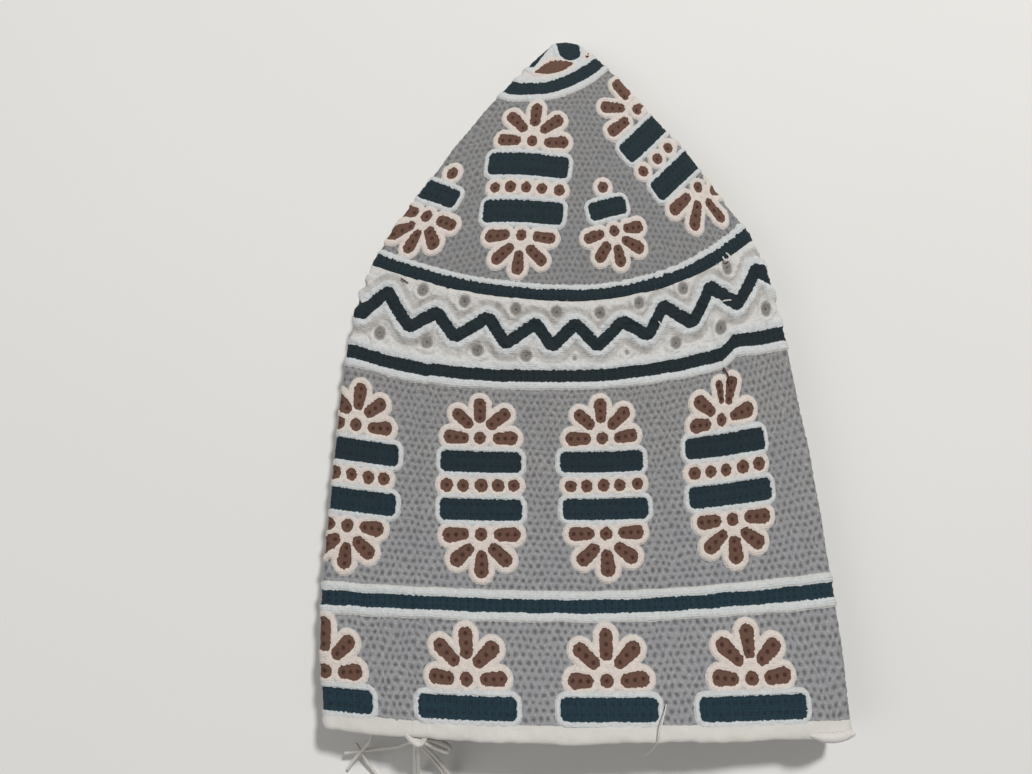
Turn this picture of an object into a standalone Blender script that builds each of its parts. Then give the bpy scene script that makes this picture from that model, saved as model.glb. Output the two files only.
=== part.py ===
"""Kumma cap: a round crown, a side band and a bound hem, folded in four and lying on its back.

Each piece is spun up in its worn form, a flat disc or an upright ring, and is then folded: two
gussets go in between the front and the back, so that a quarter of the round shows on top.
Metres, +Z up, the tip of the fold toward +Y, the head opening toward -Y.
"""
import math
from collections import namedtuple

import bmesh
import bpy

# Driving sizes.
HEAD_ROUND = 0.576          # length of the side band round the head
BAND_TALL = 0.1162          # side band, crown seam to hem binding
HEM_TALL = 0.0040           # hem binding, top to bottom
CLOTH = 0.0015              # thickness of the stitched cloth
HEM_CLOTH = 0.0021          # thickness of the bound edge
PIECE_GAP = 0.00035         # clear gap between two pieces
LAYER_CLEAR = 0.0010        # clear height of the pocket between two folded layers
FRONT_PUFF = 0.0082         # the middle of the front above its folds, at the hem
VALLEY_CLEAR = 0.0029       # clear width between the two gussets
HEM_EDGE = 0.0005           # rounding of the bound edge

# Sizes that follow.
CROWN_RADIUS = HEAD_ROUND / (2.0 * math.pi)
HALF_PANEL = HEAD_ROUND / 8.0
SEAM_REACH = 1.053 * CROWN_RADIUS

# The folded outline, one row per station. A station is 0 at the tip, 1 at the crown seam and 2 at the
# lower edge of the band. left, right: half widths of the fold; rise_left, rise_right: how far the ends
# of the row bend back to the tip; all in half panels. low, pocket, edge: clear height between back and
# lower gusset, lower and upper gusset, upper gusset and front at the folds, in layer clears. puff: share
# of the front puff. thick: 0 for plain cloth, 1 for the bound edge. depth: how far the gusset goes in.
Row = namedtuple("Row", "station left rise_left right rise_right low pocket edge puff thick depth")
ROWS = (
    Row(0.000, 0.000, 0.000, 0.000, 0.000, 0.00, 0.00, 0.00, 0.00, 0.0, 0.00),
    Row(0.020, 0.034, 0.004, 0.034, 0.004, 0.00, 0.00, 0.00, 0.00, 0.0, 0.00),
    Row(0.045, 0.058, 0.014, 0.058, 0.014, 0.00, 0.15, 0.30, 0.02, 0.0, 0.00),
    Row(0.080, 0.088, 0.030, 0.076, 0.030, 0.30, 0.30, 0.60, 0.05, 0.0, 0.15),
    Row(0.130, 0.125, 0.046, 0.117, 0.046, 0.60, 0.50, 0.90, 0.11, 0.0, 0.60),
    Row(0.184, 0.163, 0.069, 0.155, 0.076, 0.80, 0.70, 1.20, 0.16, 0.0, 1.00),
    Row(0.287, 0.250, 0.110, 0.228, 0.127, 1.10, 0.90, 1.80, 0.24, 0.0, 1.00),
    Row(0.410, 0.363, 0.149, 0.320, 0.175, 1.40, 0.90, 2.40, 0.30, 0.0, 1.00),
    Row(0.555, 0.488, 0.178, 0.438, 0.226, 1.50, 0.90, 2.70, 0.35, 0.0, 1.00),
    Row(0.700, 0.611, 0.185, 0.547, 0.272, 1.60, 0.90, 2.90, 0.38, 0.0, 1.00),
    Row(0.840, 0.726, 0.188, 0.643, 0.305, 1.70, 0.90, 3.10, 0.40, 0.0, 1.00),
    Row(0.920, 0.790, 0.185, 0.708, 0.313, 1.70, 0.90, 3.20, 0.41, 0.0, 1.00),
    Row(1.000, 0.844, 0.182, 0.775, 0.299, 1.70, 0.90, 3.20, 0.42, 0.0, 1.00),
    Row(1.086, 0.893, 0.161, 0.835, 0.271, 1.70, 0.90, 3.20, 0.43, 0.0, 1.00),
    Row(1.197, 0.929, 0.129, 0.871, 0.225, 1.70, 0.90, 3.20, 0.43, 0.0, 1.00),
    Row(1.386, 0.952, 0.098, 0.918, 0.152, 1.70, 0.90, 3.20, 0.42, 0.0, 1.00),
    Row(1.558, 0.963, 0.072, 0.953, 0.112, 1.70, 0.90, 3.20, 0.44, 0.0, 1.00),
    Row(1.753, 0.974, 0.048, 0.979, 0.068, 1.70, 0.90, 3.30, 0.57, 0.0, 1.00),
    Row(1.900, 0.957, 0.034, 0.989, 0.025, 1.70, 0.90, 3.40, 0.77, 0.6, 1.00),
    Row(2.000, 0.938, 0.029, 0.985, 0.003, 1.70, 0.90, 3.40, 0.93, 1.0, 1.00),
    Row(2.060, 0.925, 0.029, 0.977, 0.001, 1.70, 0.90, 3.40, 1.00, 1.0, 1.00),
)

# Where the middle of a crown row lies: station, and reach from the tip in seam reaches.
Reach = namedtuple("Reach", "station reach")
CROWN_REACH = (
    Reach(0.000, 0.000),
    Reach(0.020, 0.005),
    Reach(0.045, 0.021),
    Reach(0.080, 0.054),
    Reach(0.130, 0.104),
    Reach(0.184, 0.162),
    Reach(0.287, 0.272),
    Reach(0.555, 0.555),
    Reach(1.000, 1.000),
)

# Soft dents and ridges of the front, one row each: station and side of the middle (-1 to 1), how far
# they spread in stations and in half widths, and height as a share of the front puff.
Dent = namedtuple("Dent", "station across spread_along spread_across height")
DENTS = (
    Dent(1.30, 0.66, 0.20, 0.050, -0.10),
    Dent(1.32, 0.80, 0.26, 0.090, 0.16),
    Dent(1.20, -0.55, 0.30, 0.110, -0.07),
    Dent(0.70, 0.30, 0.20, 0.180, 0.06),
    Dent(1.60, 0.20, 0.25, 0.250, -0.08),
    Dent(1.95, -0.45, 0.15, 0.220, 0.07),
)

# The half round from the middle of the front to the middle of the back: name of each stretch, its
# number of faces, and where it ends on the plain oval that the tip closes with, in degrees.
Stretch = namedtuple("Stretch", "name faces oval_end")
STRETCHES = (
    Stretch("front", 8, 62.0),
    Stretch("front_fold", 5, 76.0),
    Stretch("upper_gusset", 6, 88.0),
    Stretch("valley_fold", 5, 92.0),
    Stretch("lower_gusset", 6, 104.0),
    Stretch("back_fold", 5, 118.0),
    Stretch("back", 6, 180.0),
)
HALF_FACES = sum(stretch.faces for stretch in STRETCHES)
FACES_ROUND = 2 * HALF_FACES
ROUND_TIP_STATION = 0.045   # the tip is round up to here

# Rings of vertices of each piece, as stations.
CROWN_EDGE = 1.0 - 0.5 * PIECE_GAP / CROWN_RADIUS
BAND_TOP = 1.0 + 0.5 * PIECE_GAP / BAND_TALL
HEM_TOP = 2.0 + PIECE_GAP / BAND_TALL
HEM_LOW = HEM_TOP + HEM_TALL / BAND_TALL
CROWN_RINGS = (0.0, 0.020, 0.045, 0.080, 0.130, 0.184, 0.235, 0.287, 0.410, 0.555, 0.700, 0.840, CROWN_EDGE)
BAND_RINGS = (BAND_TOP, 1.043, 1.086, 1.140, 1.197, 1.290, 1.386, 1.470, 1.558, 1.655, 1.753, 1.900, 2.000)
HEM_RINGS = (HEM_TOP, 0.5 * (HEM_TOP + HEM_LOW), HEM_LOW)

# Colours from the photo, linear, and roughness.
GREY_CLOTH = ((0.270, 0.270, 0.280, 1.0), 0.90)
WHITE_TAPE = ((0.720, 0.690, 0.640, 1.0), 0.85)


def curve_value(points, where):
    """Smooth curve through the points (place, value), read at a place."""
    last = len(points) - 1
    index = 0
    while index < last - 1 and where > points[index + 1][0]:
        index += 1
    (start, low), (end, high) = points[index], points[index + 1]
    span = end - start
    share = min(max((where - start) / span, 0.0), 1.0)
    before = points[max(index - 1, 0)]
    after = points[min(index + 2, last)]
    slope_low = (high - before[1]) / (end - before[0]) * span
    slope_high = (after[1] - low) / (after[0] - start) * span
    share_2 = share * share
    share_3 = share_2 * share
    value = (2.0 * share_3 - 3.0 * share_2 + 1.0) * low
    value += (share_3 - 2.0 * share_2 + share) * slope_low
    value += (3.0 * share_2 - 2.0 * share_3) * high
    value += (share_3 - share_2) * slope_high
    return value


def column(name, station):
    """One column of the outline table at a station."""
    return curve_value([(row.station, getattr(row, name)) for row in ROWS], station)


def reach_at(station):
    """Distance of the middle of a row from the tip."""
    if station > 1.0:
        return SEAM_REACH + (station - 1.0) * BAND_TALL
    return curve_value(CROWN_REACH, station) * SEAM_REACH


def dent_height(station, across):
    """Height of the soft dents on the front at a station."""
    height = 0.0
    for dent in DENTS:
        along = (station - dent.station) / dent.spread_along
        aside = (across - dent.across) / dent.spread_across
        height += dent.height * FRONT_PUFF * math.exp(-along * along - aside * aside)
    return height * (1.0 - across ** 4)


def layer_steps(station):
    """Thickness of the cloth and the heights from one folded layer to the next at a station."""
    thick = CLOTH + min(max(column("thick", station), 0.0), 1.0) * (HEM_CLOTH - CLOTH)
    return [thick] + [thick + column(name, station) * LAYER_CLEAR for name in ("low", "pocket", "edge")]


def folded_section(station, name, share, side, half, floor):
    """Distance from the middle and height of a point on the gusseted section of one side."""
    thick, low, pocket, edge = layer_steps(station)
    height_low = 0.5 * thick + low
    height_high = height_low + pocket
    front_turn = 0.5 * edge
    valley_turn = 0.5 * pocket
    back_turn = 0.5 * (height_low - floor)
    front_end = half - front_turn
    valley_end = min(0.5 * (VALLEY_CLEAR + thick) + valley_turn, 0.6 * half)
    back_end = half - back_turn
    angle = math.pi * share
    if name == "front":
        puff = FRONT_PUFF * column("puff", station) * (1.0 - share * share)
        return share * front_end, height_high + edge + puff + dent_height(station, side * share)
    if name == "front_fold":
        return front_end + front_turn * math.sin(angle), height_high + front_turn * (1.0 + math.cos(angle))
    if name == "upper_gusset":
        return front_end + share * (valley_end - front_end), height_high
    if name == "valley_fold":
        return valley_end - valley_turn * math.sin(angle), height_low + valley_turn * (1.0 + math.cos(angle))
    if name == "lower_gusset":
        return valley_end + share * (back_end - valley_end), height_low
    if name == "back_fold":
        return back_end + back_turn * math.sin(angle), floor + back_turn * (1.0 + math.cos(angle))
    return back_end * (1.0 - share), floor


def oval_section(station, angle, half, floor):
    """Distance from the middle and height of a point on the plain oval near the tip."""
    tall = sum(layer_steps(station)[1:])
    closing = min(1.0, math.sqrt(station / ROUND_TIP_STATION))
    lift = 0.5 * tall * closing
    if angle < 0.5 * math.pi:
        lift += FRONT_PUFF * column("puff", station)
    return half * math.sin(angle), floor + 0.5 * tall + lift * math.cos(angle)


def folded_place(station, stretch_index, share, side, floor):
    """Place of one cloth point in the folded cap."""
    stretch = STRETCHES[stretch_index]
    half = column("left" if side < 0 else "right", station) * HALF_PANEL
    out, height = folded_section(station, stretch.name, share, side, half, floor)
    depth = min(column("depth", station), 1.0)
    if depth < 1.0:
        start = STRETCHES[stretch_index - 1].oval_end if stretch_index else 0.0
        angle = math.radians(start + share * (stretch.oval_end - start))
        plain_out, plain_height = oval_section(station, angle, half, floor)
        out = plain_out + depth * (out - plain_out)
        height = plain_height + depth * (height - plain_height)
    rise = column("rise_left" if side < 0 else "rise_right", station) * HALF_PANEL
    radius = (half * half + rise * rise) / (2.0 * rise)
    bend = math.asin(half / radius) * out / half
    return side * radius * math.sin(bend), radius * (1.0 - math.cos(bend)) - reach_at(station), height


def place_at(station, step, floor):
    """Place of the cloth point a number of faces round from the middle of the front."""
    if station < 0.5 * CROWN_RINGS[1]:
        return 0.0, 0.0, floor + 0.5 * sum(layer_steps(0.0)[1:])
    side = 1 if step <= HALF_FACES else -1
    left = step if side > 0 else FACES_ROUND - step
    for index, stretch in enumerate(STRETCHES):
        if left <= stretch.faces:
            break
        left -= stretch.faces
    return folded_place(station, index, left / stretch.faces, side, floor)


def worn_profile(stations):
    """The worn piece cut open: a line out from the middle of the crown, then down the band."""
    return [(min(station, 1.0) * CROWN_RADIUS, 0.0, -max(station - 1.0, 0.0) * BAND_TALL)
            for station in stations]


def cloth_piece(name, stations, thickness, collection, material):
    """A disc or a ring of cloth, spun in its worn form, folded and given its thickness."""
    mesh = bmesh.new()
    profile = [mesh.verts.new(place) for place in worn_profile(stations)]
    edges = [mesh.edges.new(pair) for pair in zip(profile, profile[1:])]
    bmesh.ops.spin(mesh, geom=profile + edges, cent=(0.0, 0.0, 0.0), axis=(0.0, 0.0, 1.0),
                   dvec=(0.0, 0.0, 0.0), angle=2.0 * math.pi, steps=FACES_ROUND, use_merge=True)
    bmesh.ops.remove_doubles(mesh, verts=mesh.verts, dist=0.0001)
    for vert in mesh.verts:
        station = math.hypot(vert.co.x, vert.co.y) / CROWN_RADIUS - vert.co.z / BAND_TALL
        turn = math.atan2(vert.co.y, vert.co.x) / (2.0 * math.pi)
        vert.co = place_at(station, round(turn * FACES_ROUND) % FACES_ROUND, 0.5 * thickness)
    bmesh.ops.recalc_face_normals(mesh, faces=mesh.faces)
    data = bpy.data.meshes.new(name)
    mesh.to_mesh(data)
    mesh.free()
    data.materials.append(material)
    piece = bpy.data.objects.new(name, data)
    collection.objects.link(piece)
    shell = piece.modifiers.new("cloth thickness", "SOLIDIFY")
    shell.thickness = thickness
    shell.offset = 0.0
    shell.use_even_offset = True
    return piece


def round_rims(piece, width):
    """Rounds the two rims of a piece."""
    rounding = piece.modifiers.new("round rims", "BEVEL")
    rounding.width = width
    rounding.segments = 1
    rounding.limit_method = "ANGLE"
    rounding.angle_limit = math.radians(60.0)


def centre_pieces(pieces):
    """Moves the pieces together, so that the middle of the box round them is over the origin."""
    places = [vert.co for piece in pieces for vert in piece.data.vertices]
    middle_x = 0.5 * (min(place.x for place in places) + max(place.x for place in places))
    middle_y = 0.5 * (min(place.y for place in places) + max(place.y for place in places))
    for place in places:
        place.x -= middle_x
        place.y -= middle_y


def cloth_material(name, finish):
    """Plain woven cloth."""
    colour, roughness = finish
    material = bpy.data.materials.new(name)
    material.use_nodes = True
    shader = material.node_tree.nodes["Principled BSDF"]
    shader.inputs["Base Color"].default_value = colour
    shader.inputs["Roughness"].default_value = roughness
    shader.inputs["Metallic"].default_value = 0.0
    return material


def main():
    """Builds the three pieces of the cap."""
    for item in list(bpy.data.objects):
        bpy.data.objects.remove(item, do_unlink=True)
    collection = bpy.data.collections.new("kumma_cap")
    bpy.context.scene.collection.children.link(collection)
    grey = cloth_material("grey_eyelet_cloth", GREY_CLOTH)
    white = cloth_material("white_tape", WHITE_TAPE)
    crown = cloth_piece("crown", CROWN_RINGS, CLOTH, collection, grey)
    band = cloth_piece("side_band", BAND_RINGS, CLOTH, collection, grey)
    hem = cloth_piece("hem_binding", HEM_RINGS, HEM_CLOTH, collection, white)
    round_rims(hem, HEM_EDGE)
    centre_pieces((crown, band, hem))


main()
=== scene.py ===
"""Looks of a kumma cap folded flat: stitched cloth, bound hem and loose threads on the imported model.

The embroidery is charted flat, in millimetres of cloth. Each sheet of cloth is then laid on the fold of the
cap point by point, with its stitches standing up from the cloth as the chart says.
"""
import logging
import math
from dataclasses import dataclass, field, replace
from enum import Enum

import bmesh
import bpy
import numpy as np
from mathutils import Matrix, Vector


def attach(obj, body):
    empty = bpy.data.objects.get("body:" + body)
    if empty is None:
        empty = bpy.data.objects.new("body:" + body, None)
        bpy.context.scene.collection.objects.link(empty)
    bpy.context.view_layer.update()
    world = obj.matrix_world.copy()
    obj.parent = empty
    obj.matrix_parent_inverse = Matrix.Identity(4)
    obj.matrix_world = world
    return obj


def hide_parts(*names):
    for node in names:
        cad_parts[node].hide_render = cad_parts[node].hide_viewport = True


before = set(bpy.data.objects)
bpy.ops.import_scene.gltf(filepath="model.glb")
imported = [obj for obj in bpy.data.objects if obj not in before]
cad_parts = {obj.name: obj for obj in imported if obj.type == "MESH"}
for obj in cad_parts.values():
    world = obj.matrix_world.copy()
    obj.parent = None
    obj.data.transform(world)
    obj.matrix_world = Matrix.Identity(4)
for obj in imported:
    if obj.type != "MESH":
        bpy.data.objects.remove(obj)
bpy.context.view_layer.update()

MM = 0.001
TURN = 2.0 * math.pi
FAR = 9.0                   # a distance that stands for nothing near, in millimetres
UV_SPAN = 100.0             # millimetres of cloth in one unit of a UV map
GREY_SLOT = "grey_eyelet_cloth"
WHITE_SLOT = "white_tape"
LOG = logging.getLogger("kumma_cap")

Pair = tuple[float, float]
Triple = tuple[float, float, float]
Array = np.ndarray


# The shape of the folded cap.

@dataclass(frozen=True)
class CapSizes:
    """Driving sizes of the cap in metres, as the CAD has them."""

    head_round: float = 0.576
    band_tall: float = 0.1162
    hem_tall: float = 0.0040
    cloth: float = 0.0015
    hem_cloth: float = 0.0021
    piece_gap: float = 0.00035
    layer_clear: float = 0.0010
    front_puff: float = 0.0082
    valley_clear: float = 0.0029
    seam_stretch: float = 1.053
    round_tip: float = 0.045
    tip: Pair = (-0.000533, 0.108541)

    @property
    def crown_radius(self) -> float:
        """Radius of the crown, laid flat."""
        return self.head_round / TURN

    @property
    def half_panel(self) -> float:
        """Half of the quarter of the round that shows on top."""
        return self.head_round / 8.0

    @property
    def seam_reach(self) -> float:
        """Distance from the tip to the crown seam."""
        return self.seam_stretch * self.crown_radius


class Fold:
    """The folded cap as a smooth surface that a point of cloth is laid on.

    A station is 0 at the tip, 1 at the crown seam and 2 at the lower edge of the band. A turn is the
    distance round from the middle of the front, in half panels: 1 at a front fold, 2 in the valley
    between the gussets, 3 at a back fold and 4 in the middle of the back, negative to the left.
    """

    COLUMNS = ("station", "left", "rise_left", "right", "rise_right", "low", "pocket", "edge", "puff",
               "thick", "depth")
    ROWS = np.array((
        (0.000, 0.000, 0.000, 0.000, 0.000, 0.00, 0.00, 0.00, 0.00, 0.0, 0.00),
        (0.020, 0.034, 0.004, 0.034, 0.004, 0.00, 0.00, 0.00, 0.00, 0.0, 0.00),
        (0.045, 0.058, 0.014, 0.058, 0.014, 0.00, 0.15, 0.30, 0.02, 0.0, 0.00),
        (0.080, 0.088, 0.030, 0.076, 0.030, 0.30, 0.30, 0.60, 0.05, 0.0, 0.15),
        (0.130, 0.125, 0.046, 0.117, 0.046, 0.60, 0.50, 0.90, 0.11, 0.0, 0.60),
        (0.184, 0.163, 0.069, 0.155, 0.076, 0.80, 0.70, 1.20, 0.16, 0.0, 1.00),
        (0.287, 0.250, 0.110, 0.228, 0.127, 1.10, 0.90, 1.80, 0.24, 0.0, 1.00),
        (0.410, 0.363, 0.149, 0.320, 0.175, 1.40, 0.90, 2.40, 0.30, 0.0, 1.00),
        (0.555, 0.488, 0.178, 0.438, 0.226, 1.50, 0.90, 2.70, 0.35, 0.0, 1.00),
        (0.700, 0.611, 0.185, 0.547, 0.272, 1.60, 0.90, 2.90, 0.38, 0.0, 1.00),
        (0.840, 0.726, 0.188, 0.643, 0.305, 1.70, 0.90, 3.10, 0.40, 0.0, 1.00),
        (0.920, 0.790, 0.185, 0.708, 0.313, 1.70, 0.90, 3.20, 0.41, 0.0, 1.00),
        (1.000, 0.844, 0.182, 0.775, 0.299, 1.70, 0.90, 3.20, 0.42, 0.0, 1.00),
        (1.086, 0.893, 0.161, 0.835, 0.271, 1.70, 0.90, 3.20, 0.43, 0.0, 1.00),
        (1.197, 0.929, 0.129, 0.871, 0.225, 1.70, 0.90, 3.20, 0.43, 0.0, 1.00),
        (1.386, 0.952, 0.098, 0.918, 0.152, 1.70, 0.90, 3.20, 0.42, 0.0, 1.00),
        (1.558, 0.963, 0.072, 0.953, 0.112, 1.70, 0.90, 3.20, 0.44, 0.0, 1.00),
        (1.753, 0.974, 0.048, 0.979, 0.068, 1.70, 0.90, 3.30, 0.57, 0.0, 1.00),
        (1.900, 0.957, 0.034, 0.989, 0.025, 1.70, 0.90, 3.40, 0.77, 0.6, 1.00),
        (2.000, 0.938, 0.029, 0.985, 0.003, 1.70, 0.90, 3.40, 0.93, 1.0, 1.00),
        (2.060, 0.925, 0.029, 0.977, 0.001, 1.70, 0.90, 3.40, 1.00, 1.0, 1.00),
    ))
    REACH = np.array(((0.000, 0.000), (0.020, 0.005), (0.045, 0.021), (0.080, 0.054), (0.130, 0.104),
                      (0.184, 0.162), (0.287, 0.272), (0.555, 0.555), (1.000, 1.000)))
    DENTS = (
        (1.30, 0.66, 0.20, 0.050, -0.10),
        (1.32, 0.80, 0.26, 0.090, 0.16),
        (1.20, -0.55, 0.30, 0.110, -0.07),
        (0.70, 0.30, 0.20, 0.180, 0.06),
        (1.60, 0.20, 0.25, 0.250, -0.08),
        (1.95, -0.45, 0.15, 0.220, 0.07),
    )
    STRETCH_ENDS = np.array((0.955, 1.045, 1.975, 2.025, 2.965, 3.035, 4.0))
    OVAL_ENDS = np.array((0.0, 62.0, 76.0, 88.0, 92.0, 104.0, 118.0, 180.0))
    VALLEY_LIMIT = 0.6          # largest share of the half width that the valley takes
    SMALLEST = 1e-7
    NO_LENGTH = 1e-12
    NEAR_TIP = 0.012
    STEP = 0.004

    def __init__(self, sizes: CapSizes) -> None:
        """Keeps the sizes of the cap."""
        self.sizes = sizes
        self.floor = 0.5 * sizes.cloth

    @staticmethod
    def curve(places: Array, values: Array, where: Array) -> Array:
        """Smooth curve through a column of the table.

        Args:
            places: where the rows are.
            values: the value in each row.
            where: where the curve is read.

        Returns:
            The value at each place.
        """
        last = len(places) - 1
        index = np.clip(np.searchsorted(places, where) - 1, 0, last - 1)
        start, end = places[index], places[index + 1]
        low, high = values[index], values[index + 1]
        span = end - start
        share = np.clip((where - start) / span, 0.0, 1.0)
        before = np.maximum(index - 1, 0)
        after = np.minimum(index + 2, last)
        slope_low = (high - values[before]) / (end - places[before]) * span
        slope_high = (values[after] - low) / (places[after] - start) * span
        square = share ** 2
        cube = share ** 3
        value = (2.0 * cube - 3.0 * square + 1.0) * low + (cube - 2.0 * square + share) * slope_low
        return value + (3.0 * square - 2.0 * cube) * high + (cube - square) * slope_high

    def column(self, name: str, station: Array) -> Array:
        """One column of the table at each station."""
        return self.curve(self.ROWS[:, 0], self.ROWS[:, self.COLUMNS.index(name)], station)

    def dents(self, station: Array, across: Array) -> Array:
        """Height of the soft dents of the front.

        Args:
            station: station of each point.
            across: share of the half width, -1 to 1.

        Returns:
            The height in metres.
        """
        height = np.zeros_like(station)
        for middle, aside, along_spread, side_spread, share in self.DENTS:
            along = (station - middle) / along_spread
            side = (across - aside) / side_spread
            height += share * self.sizes.front_puff * np.exp(-along ** 2 - side ** 2)
        return height * (1.0 - across ** 4)

    def place(self, station: Array, turn: Array) -> Array:
        """Places of points in the middle of the cloth's thickness.

        Args:
            station: station of each point.
            turn: turn of each point.

        Returns:
            One row of x, y and z for each point, in metres.
        """
        sizes = self.sizes
        side = np.where(turn < 0.0, -1.0, 1.0)
        around = np.abs(turn)
        index = np.clip(np.searchsorted(self.STRETCH_ENDS, around), 0, len(self.STRETCH_ENDS) - 1)
        starts = np.concatenate(([0.0], self.STRETCH_ENDS[:-1]))
        share = np.clip((around - starts[index]) / (self.STRETCH_ENDS[index] - starts[index]), 0.0, 1.0)
        left = side < 0.0
        half = np.where(left, self.column("left", station), self.column("right", station))
        half = half * sizes.half_panel
        rise = np.where(left, self.column("rise_left", station), self.column("rise_right", station))
        rise = np.maximum(rise * sizes.half_panel, self.SMALLEST)
        bound = np.clip(self.column("thick", station), 0.0, 1.0)
        thick = sizes.cloth + bound * (sizes.hem_cloth - sizes.cloth)
        low = thick + self.column("low", station) * sizes.layer_clear
        pocket = thick + self.column("pocket", station) * sizes.layer_clear
        edge = thick + self.column("edge", station) * sizes.layer_clear
        puff = sizes.front_puff * self.column("puff", station)
        low_layer = 0.5 * thick + low
        high_layer = low_layer + pocket
        front_end = half - 0.5 * edge
        valley_end = 0.5 * (sizes.valley_clear + thick) + 0.5 * pocket
        valley_end = np.minimum(valley_end, self.VALLEY_LIMIT * half)
        back_turn = 0.5 * (low_layer - self.floor)
        back_end = half - back_turn
        sine, cosine = np.sin(np.pi * share), np.cos(np.pi * share)
        out = np.choose(index, (
            share * front_end,
            front_end + 0.5 * edge * sine,
            front_end + share * (valley_end - front_end),
            valley_end - 0.5 * pocket * sine,
            valley_end + share * (back_end - valley_end),
            back_end + back_turn * sine,
            back_end * (1.0 - share),
        ))
        height = np.choose(index, (
            high_layer + edge + puff * (1.0 - share ** 2) + self.dents(station, side * share),
            high_layer + 0.5 * edge * (1.0 + cosine),
            high_layer,
            low_layer + 0.5 * pocket * (1.0 + cosine),
            low_layer,
            self.floor + back_turn * (1.0 + cosine),
            np.full_like(share, self.floor),
        ))
        depth = np.clip(self.column("depth", station), 0.0, 1.0)
        oval_start, oval_end = self.OVAL_ENDS[index], self.OVAL_ENDS[index + 1]
        angle = np.radians(oval_start + share * (oval_end - oval_start))
        tall = low + pocket + edge
        closing = np.sqrt(np.clip(station / sizes.round_tip, 0.0, 1.0))
        lift = 0.5 * tall * closing + np.where(angle < 0.5 * np.pi, puff, 0.0)
        plain_out = half * np.sin(angle)
        plain_height = self.floor + 0.5 * tall + lift * np.cos(angle)
        out = plain_out + depth * (out - plain_out)
        height = plain_height + depth * (height - plain_height)
        radius = (half ** 2 + rise ** 2) / (2.0 * rise)
        bend = np.arcsin(np.clip(half / radius, -1.0, 1.0)) * out / np.maximum(half, self.SMALLEST)
        crown_reach = self.curve(self.REACH[:, 0], self.REACH[:, 1], np.minimum(station, 1.0))
        reach = crown_reach * sizes.seam_reach + np.maximum(station - 1.0, 0.0) * sizes.band_tall
        x = side * radius * np.sin(bend) + sizes.tip[0]
        y = radius * (1.0 - np.cos(bend)) - reach + sizes.tip[1]
        return np.stack((x, y, height), axis=-1)

    def lay(self, station: Array, turn: Array, lift: Array) -> Array:
        """Places of points that stand off from the middle of the cloth's thickness.

        Args:
            station: station of each point.
            turn: turn of each point.
            lift: how far each point stands off to the outside, in millimetres.

        Returns:
            One row of x, y and z for each point, in metres.
        """
        clear = np.maximum(station, self.NEAR_TIP)
        down = self.place(clear + 0.5 * self.STEP, turn) - self.place(clear - 0.5 * self.STEP, turn)
        round_ = self.place(clear, turn + self.STEP) - self.place(clear, turn - self.STEP)
        outward = np.cross(down, round_)
        length = np.linalg.norm(outward, axis=-1, keepdims=True)
        outward = outward / np.maximum(length, self.NO_LENGTH)
        return self.place(station, turn) + outward * (lift * MM)[..., None]


# The chart of the embroidery.

def smooth(value: Array, low: float, high: float) -> Array:
    """Soft step from 0 at low to 1 at high."""
    share = np.clip((value - low) / (high - low), 0.0, 1.0)
    return share * share * (3.0 - 2.0 * share)


def hump(value: Array, tall: float, middle: float, spread: float) -> Array:
    """Round hump, tall at its middle and falling off over its spread."""
    return tall * np.exp(-((value - middle) / spread) ** 2)


def ripple(x: Array, y: Array, wave: float, seed: int) -> Array:
    """Smooth unevenness between about -1 and 1, the same each run.

    Args:
        x: place across, in millimetres.
        y: place down, in millimetres.
        wave: length of the longest wave, in millimetres.
        seed: which of the uneven patterns.

    Returns:
        The unevenness at each place.
    """
    waves = 7
    shortest = 0.55
    draw = np.random.default_rng(seed)
    total = np.zeros_like(x)
    for _ in range(waves):
        heading = draw.uniform(0.0, TURN)
        turns = TURN / (wave * draw.uniform(shortest, 1.0))
        total += np.sin(turns * (x * math.cos(heading) + y * math.sin(heading)) + draw.uniform(0.0, 6.28))
    return total / (0.5 * waves)


class Thread(Enum):
    """Threads that fill the patches of the embroidery."""

    TEAL = "teal"
    BROWN = "brown"
    GREY = "grey"


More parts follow.
